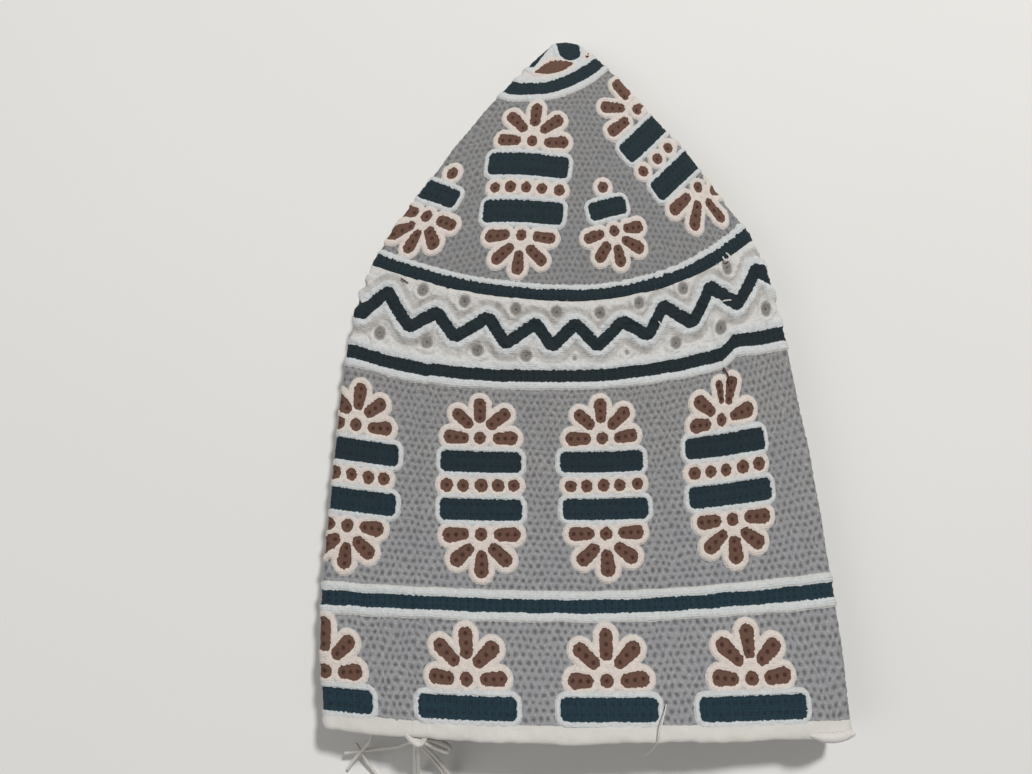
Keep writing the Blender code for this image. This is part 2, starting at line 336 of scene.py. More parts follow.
@dataclass
class Chart:
    """Embroidery over an array of cloth points, as distances in millimetres."""

    x: Array
    y: Array
    edges: dict[Thread, Array] = field(init=False)
    border: Array = field(init=False)
    swell: Array = field(init=False)
    hole: Array = field(init=False)
    zigzag: Array = field(init=False)

    EYELET_REACH = 2.0
    ROW_PITCH = 1.95            # from eyelet to eyelet in a bar or a stripe
    ROW_SMALLER = 0.12          # how much smaller those eyelets are
    BAR_ROW = 0.48              # where a bar has its rows, as a share of its half width
    BAR_CORNER = 1.4
    BAR_BORDER = 1.65
    STRIPE_ROW = 0.45
    PETAL_EYELETS = (0.18, 0.5, 0.82)
    ROSETTE_BORDER = 1.8
    LENS_SLOPE = 0.85

    def __post_init__(self) -> None:
        """Starts with bare cloth."""
        self.edges = {thread: np.full(self.x.shape, FAR) for thread in Thread}
        self.border, self.swell, self.hole, self.zigzag = (np.full(self.x.shape, FAR) for _ in range(4))

    def near(self, place: Pair, reach: float) -> Array:
        """Which cloth points lie within reach of a place, as a mask."""
        return (np.abs(self.x - place[0]) < reach) & (np.abs(self.y - place[1]) < reach)

    def fill(self, where: Array, edge: Array, thread: Thread, border: float) -> None:
        """Adds a patch of thread with a puffed white border.

        Args:
            where: mask of the points that the patch is worked out for.
            edge: distance of those points to the patch's edge, negative inside.
            thread: what fills the patch.
            border: width of the white border.
        """
        self.edges[thread][where] = np.minimum(self.edges[thread][where], edge)
        self.border[where] = np.minimum(self.border[where], edge - border)
        self.swell[where] = np.minimum(self.swell[where], np.maximum(edge, 0.0) / border)

    def prick(self, place: Pair) -> None:
        """Adds an eyelet at a place.

        Args:
            place: where it is, in millimetres.
        """
        where = self.near(place, self.EYELET_REACH)
        apart = np.hypot(self.x[where] - place[0], self.y[where] - place[1])
        self.hole[where] = np.minimum(self.hole[where], apart)

    def prick_rows(self, where: Array, along: Array, aside: Array, edge: Array) -> None:
        """Adds rows of eyelets to a patch.

        Args:
            where: mask of the points that the patch is worked out for.
            along: how far along the patch they are.
            aside: how far they are from the nearest row.
            edge: distance to the patch's edge, negative inside.
        """
        cell = along / self.ROW_PITCH
        step = (cell - np.floor(cell) - 0.5) * self.ROW_PITCH
        apart = np.where(edge < 0.0, np.hypot(step, aside) + self.ROW_SMALLER, FAR)
        self.hole[where] = np.minimum(self.hole[where], apart)

    def dot(self, place: Pair, radius: float, thread: Thread, border: float, pricked: bool = True) -> None:
        """Adds a round patch.

        Args:
            place: its middle.
            radius: its radius.
            thread: what fills it.
            border: width of the white border.
            pricked: whether it has an eyelet in its middle.
        """
        where = self.near(place, radius + FAR)
        apart = np.hypot(self.x[where] - place[0], self.y[where] - place[1])
        self.fill(where, apart - radius, thread, border)
        if pricked:
            self.prick(place)

    def tapered(self, inner: Pair, outer: Pair, widths: Pair) -> tuple[Array, Array]:
        """Distance to a form with round ends that is narrower at one end.

        Args:
            inner: where it starts.
            outer: where it ends.
            widths: half widths at the inner and the outer end.

        Returns:
            The distance to its edge, and the mask of the points that it is worked out for.
        """
        run = np.subtract(outer, inner)
        length = float(np.hypot(*run))
        heading = run / length
        start = np.array(inner) + heading * widths[0]
        span = length - widths[0] - widths[1]
        where = self.near(tuple(0.5 * (np.array(inner) + outer)), 0.5 * length + FAR)
        across = self.x[where] - start[0]
        along = self.y[where] - start[1]
        share = np.clip((across * heading[0] + along * heading[1]) / span, 0.0, 1.0)
        apart = np.hypot(across - share * span * heading[0], along - share * span * heading[1])
        return apart - widths[0] - share * (widths[1] - widths[0]), where

    def petal(self, inner: Pair, outer: Pair, widths: Pair, border: float) -> None:
        """Adds a brown petal, narrower at its inner end, with a row of three eyelets.

        Args:
            inner: where it starts.
            outer: where it ends.
            widths: half widths at the inner and the outer end.
            border: width of the white border.
        """
        edge, where = self.tapered(inner, outer, widths)
        self.fill(where, edge, Thread.BROWN, border)
        for share in self.PETAL_EYELETS:
            self.prick(tuple(np.array(inner) + share * np.subtract(outer, inner)))

    def block(self, inner: Pair, outer: Pair, widths: Pair) -> None:
        """Adds a teal block with round ends."""
        edge, where = self.tapered(inner, outer, widths)
        self.fill(where, edge, Thread.TEAL, self.ROSETTE_BORDER)

    def lens(self, place: Pair, halves: Pair, heading: float) -> None:
        """Adds a brown lens, pointed at both ends.

        Args:
            place: its middle.
            halves: half of its length and of its width.
            heading: how far it is turned, in radians.
        """
        where = self.near(place, halves[0] + FAR)
        across = self.x[where] - place[0]
        down = self.y[where] - place[1]
        along = across * math.cos(heading) + down * math.sin(heading)
        aside = np.abs(down * math.cos(heading) - across * math.sin(heading))
        edge = aside - halves[1] * (1.0 - (along / halves[0]) ** 2)
        edge = np.maximum(edge * self.LENS_SLOPE, np.abs(along) - halves[0])
        self.fill(where, edge, Thread.BROWN, self.ROSETTE_BORDER)

    def bar(self, place: Pair, half_long: float, half_wide: float, heading: float) -> None:
        """Adds a teal bar with two rows of small eyelets.

        Args:
            place: its middle.
            half_long: half of its length.
            half_wide: half of its width.
            heading: how far it is turned, in radians.
        """
        corner = self.BAR_CORNER
        where = self.near(place, half_long + FAR)
        across = self.x[where] - place[0]
        down = self.y[where] - place[1]
        along = across * math.cos(heading) + down * math.sin(heading)
        aside = down * math.cos(heading) - across * math.sin(heading)
        past_long = np.abs(along) - half_long + corner
        past_wide = np.abs(aside) - half_wide + corner
        edge = np.hypot(np.maximum(past_long, 0.0), np.maximum(past_wide, 0.0)) - corner
        edge += np.minimum(np.maximum(past_long, past_wide), 0.0)
        self.fill(where, edge, Thread.TEAL, self.BAR_BORDER)
        self.prick_rows(where, along, np.abs(aside) - self.BAR_ROW * half_wide, edge)

    def line(self, points: Array, half_wide: float, border: float) -> Array:
        """Adds a teal line through points.

        Args:
            points: one row of x and y for each corner.
            half_wide: half of its width.
            border: width of the white border.

        Returns:
            The distance to the line's edge, negative inside.
        """
        edge = np.full(self.x.shape, FAR)
        for start, end in zip(points[:-1], points[1:]):
            run = end - start
            middle = 0.5 * (start + end)
            where = self.near(tuple(middle), 0.5 * float(np.hypot(*run)) + FAR)
            across = self.x[where] - start[0]
            down = self.y[where] - start[1]
            share = np.clip((across * run[0] + down * run[1]) / (run @ run), 0.0, 1.0)
            apart = np.hypot(across - share * run[0], down - share * run[1])
            edge[where] = np.minimum(edge[where], apart - half_wide)
        self.fill(np.ones(self.x.shape, bool), edge, Thread.TEAL, border)
        return edge

    def stripe(self, offset: Array, along: Array, half_wide: float, border: float) -> None:
        """Adds a teal stripe that runs right across.

        Args:
            offset: how far each point is from the middle of the stripe.
            along: how far along the stripe each point is.
            half_wide: half of its width.
            border: width of the white border.
        """
        everywhere = np.ones(self.x.shape, bool)
        edge = np.abs(offset) - half_wide
        self.fill(everywhere, edge, Thread.TEAL, border)
        self.prick_rows(everywhere, along, np.abs(offset) - self.STRIPE_ROW * half_wide, edge)

    def whiten(self, inside: Array) -> None:
        """Makes a stretch of cloth white right through."""
        self.border = np.minimum(self.border, -inside)


class MotifKind(Enum):
    """Which parts of the medallion a motif has."""

    WHOLE = "whole"
    CROWN_HALF = "crown half"
    HEM_HALF = "hem half"


@dataclass(frozen=True)
class Motif:
    """One medallion: bars and a row of dots between two fans of petals, or half of it."""

    HUB_REACH = 13.3

    place: Pair
    lean: float = 0.0
    hub_reach: float = HUB_REACH
    bar_half: float = 12.2
    kind: MotifKind = MotifKind.WHOLE
    tall: float = 1.0
    seed: int = 1
    wide: float = 1.0
    bar_half_wide: float = 2.75
    split: bool = False

    BAR_REACH = 6.6
    BAR_STRAY = (0.012, 0.3)
    DOT_PITCH = 4.85
    DOT_RADIUS = 1.55
    DOT_BORDER = 2.0
    DOT_STRAY = (0.25, 0.15)
    DOT_SIZES = (0.9, 1.05)
    TOP_DOT = -6.9
    HUB_RADIUS = 1.50
    HUB_BORDER = 1.9
    HUB_STRAY = 0.2
    PETALS = (
        (-3.7, -0.1, -10.4, 0.3),
        (-2.4, 3.1, -8.0, 7.9),
        (0.0, 4.5, 0.0, 11.2),
        (2.4, 3.1, 8.2, 7.6),
        (3.8, -0.1, 10.5, 0.3),
    )
    PETAL_WIDTHS = (1.40, 1.72)
    PETAL_BORDER = 2.0
    PETAL_STRAY = 0.35
    PETAL_SIZES = (0.90, 1.08)
    SPLIT_FORMS = (
        ((-3.7, -0.7, -10.1, -0.8), (1.40, 1.72)),
        ((-2.4, 2.0, -7.7, 6.5), (1.40, 1.72)),
        ((0.9, 4.5, 0.6, 10.5), (0.70, 1.00)),
        ((3.1, 3.8, 4.9, 10.3), (0.85, 1.40)),
        ((3.6, 0.4, 9.8, 1.7), (1.25, 1.80)),
    )

    def point(self, across: float, down: float) -> Pair:
        """Place on the cloth of a point of the motif.

        Args:
            across: how far the point is to the right of the motif's middle.
            down: how far below it.

        Returns:
            The place, in millimetres.
        """
        angle = math.radians(self.lean)
        across *= self.wide
        x = self.place[0] + across * math.cos(angle) + down * math.sin(angle)
        return x, self.place[1] - across * math.sin(angle) + down * math.cos(angle)

    def fan(self, chart: Chart, hub: float, way: float, draw: np.random.Generator) -> None:
        """Adds a hub and its five petals.

        Args:
            chart: the chart that it is drawn on.
            hub: how far down the hub is.
            way: 1 if the petals point down, -1 if they point up.
            draw: unevenness of the hand.
        """
        stray = draw.uniform(-self.HUB_STRAY, self.HUB_STRAY)
        chart.dot(self.point(stray, hub), self.HUB_RADIUS, Thread.BROWN, self.HUB_BORDER)
        forms = [(petal, self.PETAL_WIDTHS) for petal in self.PETALS]
        if self.split and way < 0.0:
            forms = self.SPLIT_FORMS
        for (inner_x, inner_y, outer_x, outer_y), halves in forms:
            uneven = draw.uniform(-self.PETAL_STRAY, self.PETAL_STRAY, 4)
            inner_down = hub + way * (inner_y * self.tall + 0.5 * uneven[1])
            outer_down = hub + way * (outer_y * self.tall + uneven[3])
            inner = self.point(inner_x + 0.5 * uneven[0], inner_down)
            outer = self.point(outer_x + uneven[2], outer_down)
            widths = tuple(width * draw.uniform(*self.PETAL_SIZES) for width in halves)
            chart.petal(inner, outer, widths, self.PETAL_BORDER)

    def bar(self, chart: Chart, down: float, draw: np.random.Generator) -> None:
        """Adds a bar across the motif.

        Args:
            chart: the chart that it is drawn on.
            down: how far down the bar is.
            draw: unevenness of the hand.
        """
        turned, aside = self.BAR_STRAY
        heading = -math.radians(self.lean) + draw.uniform(-turned, turned)
        place = self.point(draw.uniform(-aside, aside), down)
        chart.bar(place, self.bar_half * self.wide, self.bar_half_wide, heading)

    def dots(self, chart: Chart, draw: np.random.Generator) -> None:
        """Adds the row of five dots between the bars.

        Args:
            chart: the chart that it is drawn on.
            draw: unevenness of the hand.
        """
        across_stray, down_stray = self.DOT_STRAY
        for index in range(-2, 3):
            across = index * self.DOT_PITCH + draw.uniform(-across_stray, across_stray)
            radius = self.DOT_RADIUS * draw.uniform(*self.DOT_SIZES)
            place = self.point(across, draw.uniform(-down_stray, down_stray))
            chart.dot(place, radius, Thread.BROWN, self.DOT_BORDER)

    def draw(self, chart: Chart) -> None:
        """Adds the motif to a chart.

        Args:
            chart: the chart.
        """
        draw = np.random.default_rng(self.seed)
        if self.kind is MotifKind.WHOLE:
            self.fan(chart, -self.hub_reach, -1.0, draw)
            self.fan(chart, self.hub_reach, 1.0, draw)
            for way in (-1.0, 1.0):
                self.bar(chart, way * self.BAR_REACH * self.hub_reach / self.HUB_REACH, draw)
            self.dots(chart, draw)
            return
        self.bar(chart, 0.0, draw)
        if self.kind is MotifKind.CROWN_HALF:
            chart.dot(self.point(0.0, self.TOP_DOT), self.DOT_RADIUS, Thread.BROWN, self.DOT_BORDER)
            self.fan(chart, self.hub_reach, 1.0, draw)
        else:
            self.fan(chart, -self.hub_reach, -1.0, draw)


def motif_ring(shown: list[Motif], whole: float, count: int, model: Motif,
               past_fold: float = 5.0) -> list[Motif]:
    """Fills the rest of a round of motifs that shows only in part.

    Args:
        shown: the motifs that show on top, from left to right.
        whole: length of the round, in millimetres.
        count: how many motifs the round has.
        model: what the others look like.
        past_fold: how much wider the first gap past the shown ones is, in millimetres.

    Returns:
        The whole round.
    """
    hidden = count - len(shown)
    first, last = shown[0].place[0], shown[-1].place[0] + past_fold
    pitch = (first + whole - last) / (hidden + 1)
    motifs = list(shown)
    for index in range(hidden):
        x = (last + pitch * (index + 1) + 0.5 * whole) % whole - 0.5 * whole
        motifs.append(replace(model, place=(x, model.place[1]), seed=model.seed + index))
    return motifs


def rounded_path(points: Array, steps: int) -> Array:
    """Closed path through points, with its corners taken round.

    Args:
        points: one row of x and y for each point.
        steps: how many pieces each span is cut into.

    Returns:
        The points of the path, the first again at the end.
    """
    path = []
    for index in range(len(points)):
        before, start, end, after = (points[(index + step) % len(points)] for step in (-1, 0, 1, 2))
        for step in range(steps):
            share = step / steps
            bend = (2.0 * before - 5.0 * start + 4.0 * end - after) * share ** 2
            twist = (3.0 * start - before - 3.0 * end + after) * share ** 3
            path.append(start + 0.5 * ((end - before) * share + bend + twist))
    path.append(path[0])
    return np.array(path)


def blunted(points: Array, cut: float) -> Array:
    """Open path with each inner corner cut off.

    Args:
        points: one row of x and y for each corner.
        cut: how far from the corner it is cut.

    Returns:
        The points of the new path.
    """
    path = [points[0]]
    for before, corner, after in zip(points[:-2], points[1:-1], points[2:]):
        for other in (before, after):
            run = other - corner
            path.append(corner + run * cut / np.hypot(*run))
    path.append(points[-1])
    return np.array(path)


class BandChart:
    """Embroidery of the side band: zigzag strip, field of medallions and lower field of half medallions."""

    WHOLE_ROUND = 576.0
    ZIGZAG_HIGHS = ((-62.6, 5.7), (-44.7, 7.9), (-27.7, 6.9), (-12.2, 7.5), (0.6, 7.2), (16.1, 7.6),
                    (30.7, 5.3), (48.6, 4.8), (67.2, 6.8))
    ZIGZAG_LOWS = ((-69.3, 13.4), (-52.7, 13.7), (-37.8, 14.1), (-21.4, 14.5), (-7.0, 14.6), (7.5, 14.5),
                   (24.2, 13.1), (39.4, 12.6), (56.2, 12.5))
    HIDDEN_TEETH = 27
    HIDDEN_HIGH = 6.8
    HIDDEN_LOW = 14.1
    ZIGZAG_HALF = 1.72
    ZIGZAG_BORDER = 2.2
    CORNER_CUT = 0.9
    DOT_RADIUS = 2.05
    DOT_BORDER = 1.6
    FAINT_DOTS = ((0.1, 17.9), (16.9, 17.2))
    FAINT_RADIUS = 0.75
    UPPER_DOTS = ((-73.3, 1.9), (-51.3, 2.5), (-36.5, 3.1), (-19.1, 3.6), (-5.6, 3.7), (9.0, 4.2),
                  (22.7, 2.9), (39.2, 2.2), (57.3, 2.3), (75.0, 2.6))
    LOWER_DOTS = ((-77.5, 17.0), (-61.9, 16.9), (-46.4, 16.8), (-30.1, 17.0), (-15.0, 17.5), (33.3, 16.8),
                  (49.3, 16.6), (66.7, 17.0))
    HIDDEN_UPPER = 2.9
    HIDDEN_LOWER = 16.9
    SHOWN = (-80.0, 78.0)
    UPPER_STRIPE = ((-288.0, 23.5), (-80.0, 23.2), (-72.9, 23.3), (-45.8, 24.75), (-43.0, 24.25),
                    (-31.7, 24.2), (-7.5, 23.4), (20.5, 23.05), (48.6, 23.5), (52.9, 21.5), (60.0, 22.8),
                    (70.0, 24.5), (80.0, 24.3), (288.0, 23.5))
    LOWER_STRIPE = ((-288.0, 87.5), (-73.7, 88.4), (-38.0, 87.6), (16.0, 87.5), (43.0, 87.3), (70.0, 87.8),
                    (288.0, 87.5))
    STRIPE_HALF = 1.6
    STRIPE_BORDER = 2.5
    STRIPE_WOBBLE = 0.12
    SEAM = ((0.0, -43.2), (25.0, -45.0), (60.0, -46.2), (114.5, -45.0))
    IN_ROUND = 15               # motifs in each of the two rounds
    MODEL = Motif((0.0, 55.2), seed=31)
    SHOWN_WHOLE = ((-65.4, 56.5, 0.0, 13.5), (-27.6, 55.8, 2.0, 11.6), (7.9, 54.95, 0.4, 12.1),
                   (44.7, 53.9, -1.6, 12.1))
    LOW_MODEL = Motif((0.0, 112.8), 0.0, 6.7, 12.8, MotifKind.HEM_HALF, 1.12, 51, bar_half_wide=2.65)
    SHOWN_LOW = ((-70.3, 112.9, 6.6, 13.0), (-30.8, 112.7, 6.7, 13.1), (6.6, 112.7, 6.7, 12.5),
                 (44.6, 112.9, 6.7, 14.3))
    MOTIF_REACH = (30.0, 40.0)

    def __init__(self) -> None:
        """Lays out the motifs and the zigzag."""
        shown = [replace(self.MODEL, place=(x, y), lean=lean, bar_half=half, seed=11 + index)
                 for index, (x, y, lean, half) in enumerate(self.SHOWN_WHOLE)]
        shown[-1] = replace(shown[-1], split=True)
        shown_low = [replace(self.LOW_MODEL, place=(x, y), hub_reach=reach, bar_half=half, seed=21 + index)
                     for index, (x, y, reach, half) in enumerate(self.SHOWN_LOW)]
        self.motifs = motif_ring(shown, self.WHOLE_ROUND, self.IN_ROUND, self.MODEL)
        self.motifs += motif_ring(shown_low, self.WHOLE_ROUND, self.IN_ROUND, self.LOW_MODEL)
        corners = sorted(self.ZIGZAG_HIGHS + self.ZIGZAG_LOWS)
        last = corners[-1][0]
        step = (corners[0][0] + self.WHOLE_ROUND - last) / (2 * self.HIDDEN_TEETH + 1)
        for index in range(1, 2 * self.HIDDEN_TEETH + 1):
            down = self.HIDDEN_LOW if index % 2 else self.HIDDEN_HIGH
            corners.append((last + index * step, down))
        self.zigzag = np.array(corners)

    def turned(self, points: Array, way: float) -> Array:
        """Points moved a whole round to one side."""
        return points + np.array((way * self.WHOLE_ROUND, 0.0))

    def chart(self, x: Array, y: Array) -> Chart:
        """Charts the band at points of the cloth.

        Args:
            x: distance round from the middle of the front, in millimetres.
            y: distance below the crown seam, in millimetres.

        Returns:
            The chart.
        """
        chart = Chart(x, y)
        wobble = self.STRIPE_WOBBLE * ripple(x, y, 14.0, 5)
        upper = np.array(self.UPPER_STRIPE)
        lower = np.array(self.LOWER_STRIPE)
        for row in (upper, lower):
            offset = y - np.interp(x, row[:, 0], row[:, 1]) - wobble
            chart.stripe(offset, x, self.STRIPE_HALF, self.STRIPE_BORDER)
        if float(y.min()) < upper[:, 1].max():
            self.draw_zigzag(chart, float(x.min()), float(x.max()))
            chart.whiten(np.interp(x, upper[:, 0], upper[:, 1]) - y)
        aside, apart = self.MOTIF_REACH
        for motif in self.motifs:
            for way in (-1.0, 0.0, 1.0):
                across, down = motif.place[0] + way * self.WHOLE_ROUND, motif.place[1]
                near = x.min() - aside < across < x.max() + aside
                if near and y.min() - apart < down < y.max() + apart:
                    replace(motif, place=(across, down)).draw(chart)
        return chart

    def draw_zigzag(self, chart: Chart, left: float, right: float) -> None:
        """Adds the zigzag and the grey dots in its bays.

        Args:
            chart: the chart that it is drawn on.
            left: where the cloth starts.
            right: where the cloth ends.
        """
        middle = 0.5 * (self.zigzag[:, 1].min() + self.zigzag[:, 1].max())
        for place in self.UPPER_DOTS + self.LOWER_DOTS:
            chart.dot(place, self.DOT_RADIUS, Thread.GREY, self.DOT_BORDER)
        for place in self.FAINT_DOTS:
            chart.dot(place, self.FAINT_RADIUS, Thread.GREY, self.DOT_BORDER, pricked=False)
        for way in (-1.0, 0.0, 1.0):
            corners = self.turned(self.zigzag, way)
            if way > -1.0:
                corners = np.vstack((self.turned(self.zigzag, way - 1.0)[-1:], corners))
            aside = self.MOTIF_REACH[0]
            corners = corners[(corners[:, 0] > left - aside) & (corners[:, 0] < right + aside)]
            if len(corners) < 2:
                continue
            edge = chart.line(blunted(corners, self.CORNER_CUT), self.ZIGZAG_HALF, self.ZIGZAG_BORDER)
            chart.zigzag = np.minimum(chart.zigzag, edge)
            for x, y in corners:
                if not self.SHOWN[0] < x < self.SHOWN[1]:
                    down = self.HIDDEN_UPPER if y > middle else self.HIDDEN_LOWER
                    chart.dot((float(x), down), self.DOT_RADIUS, Thread.GREY, self.DOT_BORDER)

    def relief_extra(self, x: Array, y: Array) -> Array:
        """Lift of the cloth at its seams, with the puckers of the strip.

        Args:
            x: place round, in millimetres.
            y: place down, in millimetres.

        Returns:
            The lift, in millimetres.
        """
        rows = np.array(self.SEAM)
        from_seam = x - np.interp(y, rows[:, 0], rows[:, 1])
        groove = hump(from_seam, -0.32, 0.0, 0.5) + hump(from_seam, 0.12, 1.4, 0.8)
        strip = smooth(y, 0.5, 3.0) * smooth(-y, -22.5, -19.5)
        puckers = 0.34 * ripple(x, y, 7.0, 12) + 0.18 * ripple(x, 1.6 * y, 3.2, 13)
        return groove - hump(y, 0.25, 0.0, 1.0) + strip * puckers

    @staticmethod
    def station_turn(sizes: CapSizes, x: Array, y: Array) -> tuple[Array, Array]:
        """Stations and turns of points of the band's cloth.

        Args:
            sizes: the driving sizes.
            x: place across, in millimetres.
            y: place down, in millimetres.

        Returns:
            The stations and the turns.
        """
        turn = x * MM / sizes.half_panel
        turn = np.where(turn > 4.0, turn - 8.0, turn)
        return 1.0 + y * MM / sizes.band_tall, turn


class CrownChart:
    """Embroidery of the crown: rosette in a ring, whole and half medallions, and the stripe at the rim."""

    RADIUS = 91.67
    RING = ((-20.0, 20.5), (-13.5, 21.9), (-6.3, 22.0), (2.0, 19.0), (10.6, 13.0), (16.0, 5.0),
            (19.0, -5.0), (17.0, -15.0), (10.0, -22.0), (0.0, -26.0), (-11.0, -26.0), (-21.0, -22.0),
            (-28.0, -14.0), (-31.0, -4.0), (-30.0, 7.0), (-26.0, 15.5))
    RING_HALF = 2.05
    RING_MIDDLE = (-6.0, -2.0)
    RING_INSIDE = 22.6
    ROSETTE = (-9.0, -5.0)
    BLOCK = (7.5, 2.0, 9.8, 16.8)
    BLOCK_HALVES = (2.7, 3.1)
    FRONT_BLOCKS = (((0.2, 1.2), (1.5, 11.7)), ((-5.0, 1.6), (-15.7, 12.4)))
    LENS = (4.7, 19.4)
    LENS_HALF = (6.6, 2.1)
    FRONT_LENSES = ((-4.8, 14.4, -10.0), (10.8, 2.6, -60.0), (-21.6, 10.2, 30.0))
    STRAY_DOT = (7.0, 9.7)
    STRAY_RADIUS = 0.35
    RING_BORDER = 2.5
    BLOCK_TURN = 45.0
    LENS_TURN = -15.5
    RIM_MIDDLE = 1.45
    RIM_HALF = 1.45
    RIM_BORDER = 1.8
    MOTIF_TURN = 42.8           # degrees from motif to motif, of which there are six out of sight
    HIDDEN_WHOLE = (41.2, 57.5, Motif((0.0, 0.0), 0.0, 14.2, 12.4, seed=90, bar_half_wide=3.2))
    HIDDEN_HALF = (19.8, 63.4, Motif((0.0, 0.0), 0.0, 7.5, 6.3, MotifKind.CROWN_HALF, seed=100))

    def __init__(self) -> None:
        """Lays out the motifs."""
        half = MotifKind.CROWN_HALF
        self.motifs = [
            Motif((-14.6, 55.55), -8.5, 15.3, 12.0, tall=1.1, seed=71, wide=1.09, bar_half_wide=3.4),
            Motif((36.0, 41.6), 40.4, 16.2, 11.3, tall=1.1, seed=72, wide=1.36, bar_half_wide=3.4),
            Motif((12.6, 63.0), 14.0, 7.6, 6.3, half, seed=81),
            Motif((-42.6, 51.6), -35.5, 7.4, 6.1, half, seed=82),
        ]
        for start, reach, model in (self.HIDDEN_WHOLE, self.HIDDEN_HALF):
            for index in range(1, 7):
                angle = math.radians(start + self.MOTIF_TURN * index)
                place = (reach * math.sin(angle), reach * math.cos(angle))
                seed = model.seed + index
                self.motifs.append(replace(model, place=place, lean=math.degrees(angle), seed=seed))
        self.ring = rounded_path(np.array(self.RING), steps=4)

    def chart(self, x: Array, y: Array) -> Chart:
        """Charts the crown at points of the cloth.

        Args:
            x: distance to the right of the tip, in millimetres.
            y: distance in front of the tip, in millimetres.

        Returns:
            The chart.
        """
        chart = Chart(x, y)
        from_rim = self.RADIUS - np.hypot(x, y)
        ragged = 0.25 * ripple(x, y, 3.0, 8) * (from_rim > self.RIM_MIDDLE)
        along_rim = np.arctan2(x, y) * self.RADIUS
        chart.stripe(from_rim - self.RIM_MIDDLE + ragged, along_rim, self.RIM_HALF, self.RIM_BORDER)
        chart.line(self.ring, self.RING_HALF, self.RING_BORDER)
        chart.whiten(self.RING_INSIDE - np.hypot(x - self.RING_MIDDLE[0], y - self.RING_MIDDLE[1]))
        self.draw_rosette(chart)
        for motif in self.motifs:
            if chart.near(motif.place, 20.0).any():
                motif.draw(chart)
        return chart

    def draw_rosette(self, chart: Chart) -> None:
        """Adds the teal blocks and brown lenses round the middle of the crown.

        Args:
            chart: the chart that they are drawn on.
        """
        for inner, outer in self.FRONT_BLOCKS:
            chart.block(inner, outer, self.BLOCK_HALVES)
        for x, y, heading in self.FRONT_LENSES:
            chart.lens((x, y), self.LENS_HALF, math.radians(heading))
        chart.dot(self.STRAY_DOT, self.STRAY_RADIUS, Thread.BROWN, 1.2)
        for index in range(1, 7):
            angle = math.radians(self.BLOCK_TURN * index)
            cosine, sine = math.cos(angle), math.sin(angle)

            def placed(across: float, down: float) -> Pair:
                """Place of a point of the rosette, turned to this block."""
                return (self.ROSETTE[0] + across * cosine + down * sine,
                        self.ROSETTE[1] - across * sine + down * cosine)

            inner, outer = placed(*self.BLOCK[:2]), placed(*self.BLOCK[2:])
            chart.block(inner, outer, self.BLOCK_HALVES)
            if index > 1:
                chart.lens(placed(*self.LENS), self.LENS_HALF, math.radians(self.LENS_TURN) - angle)

    def relief_extra(self, x: Array, y: Array) -> Array:
        """Lift of the cloth at its seams, in millimetres."""
        return hump(self.RADIUS - np.hypot(x, y), 0.35, 1.4, 1.3)

    @staticmethod
    def station_turn(sizes: CapSizes, x: Array, y: Array) -> tuple[Array, Array]:
        """Stations and turns of points of the crown's cloth.

        Args:
            sizes: the driving sizes.
            x: place across, in millimetres.
            y: place down, in millimetres.

        Returns:
            The stations and the turns.
        """
        station = np.hypot(x, y) * MM / sizes.crown_radius
        turn = np.arctan2(x, y) / (0.25 * np.pi)
        return station, turn


@dataclass(frozen=True)
class Relief:
    """Heights of the stitches above the middle of the cloth, in millimetres."""

    ground: float = 0.42
    net: float = 0.15
    white: float = 0.60
    dome: float = 0.52
    valley: float = 0.30
    patch: float = 0.70
    eyelet: float = 0.30
    net_across: float = 2.05
    net_down: float = 1.9
    valley_from: float = 3.0    # how far the valley lies from the zigzag, and how wide it is
    valley_wide: float = 0.9
    fuzz: float = 0.07
    rough: float = 0.08
    roll: float = 0.16
    low_roll: float = 0.10

    def warped(self, x: Array, y: Array) -> tuple[Array, Array]:
        """Cloth places with the unevenness of the eyelet net."""
        across = x + 0.34 * ripple(x, y, 11.0, 3) + 0.10 * ripple(x, y, 3.6, 14)
        return across, y + 0.32 * ripple(x, y, 10.0, 4) + 0.09 * ripple(x, y, 3.4, 15)

    def net_apart(self, x: Array, y: Array) -> Array:
        """Distance to the middle of the nearest hole of the net.

        Args:
            x: place across, in millimetres.
            y: place down, in millimetres.

        Returns:
            The distance, in millimetres.
        """
        row = np.floor(y / self.net_down)
        across = x / self.net_across + 0.5 * (row % 2.0)
        across = (across - np.floor(across) - 0.5) * self.net_across
        down = (y / self.net_down - row - 0.5) * self.net_down
        return np.hypot(across, down)

    def lift(self, chart: Chart) -> Array:
        """How far the stitched surface stands off from the middle of the cloth.

        Args:
            chart: the chart at the points.

        Returns:
            The lift of each point, in millimetres.
        """
        x, y = chart.x, chart.y
        apart = self.net_apart(*self.warped(x, y))
        fine = ripple(x, y, 1.9, 6)
        net = self.ground + self.net * smooth(apart, 0.2, 0.8)
        net = net + self.fuzz * fine + self.rough * ripple(x, y, 2.7, 16)
        share = np.clip(chart.swell, 0.0, 1.0)
        dome = np.sqrt(np.maximum(4.0 * share * (1.0 - share), 0.0))
        white = self.white + self.dome * dome
        white = white - hump(chart.zigzag, self.valley, self.valley_from, self.valley_wide)
        white = white + self.fuzz * fine + self.rough * ripple(x, y, 4.0, 7)
        colour = np.minimum(np.minimum(chart.edges[Thread.TEAL], chart.edges[Thread.BROWN]),
                            chart.edges[Thread.GREY])
        patch = self.patch + self.fuzz * fine - self.eyelet * (1.0 - smooth(chart.hole, 0.2, 0.75))
        lift = net + (white - net) * smooth(-chart.border, -0.1, 0.4)
        lift = lift + (patch - lift) * smooth(-colour, -0.1, 0.3)
        return lift + self.roll * ripple(x, y, 38.0, 17) + self.low_roll * ripple(x, y, 15.0, 18)


# The cloth laid on the fold.

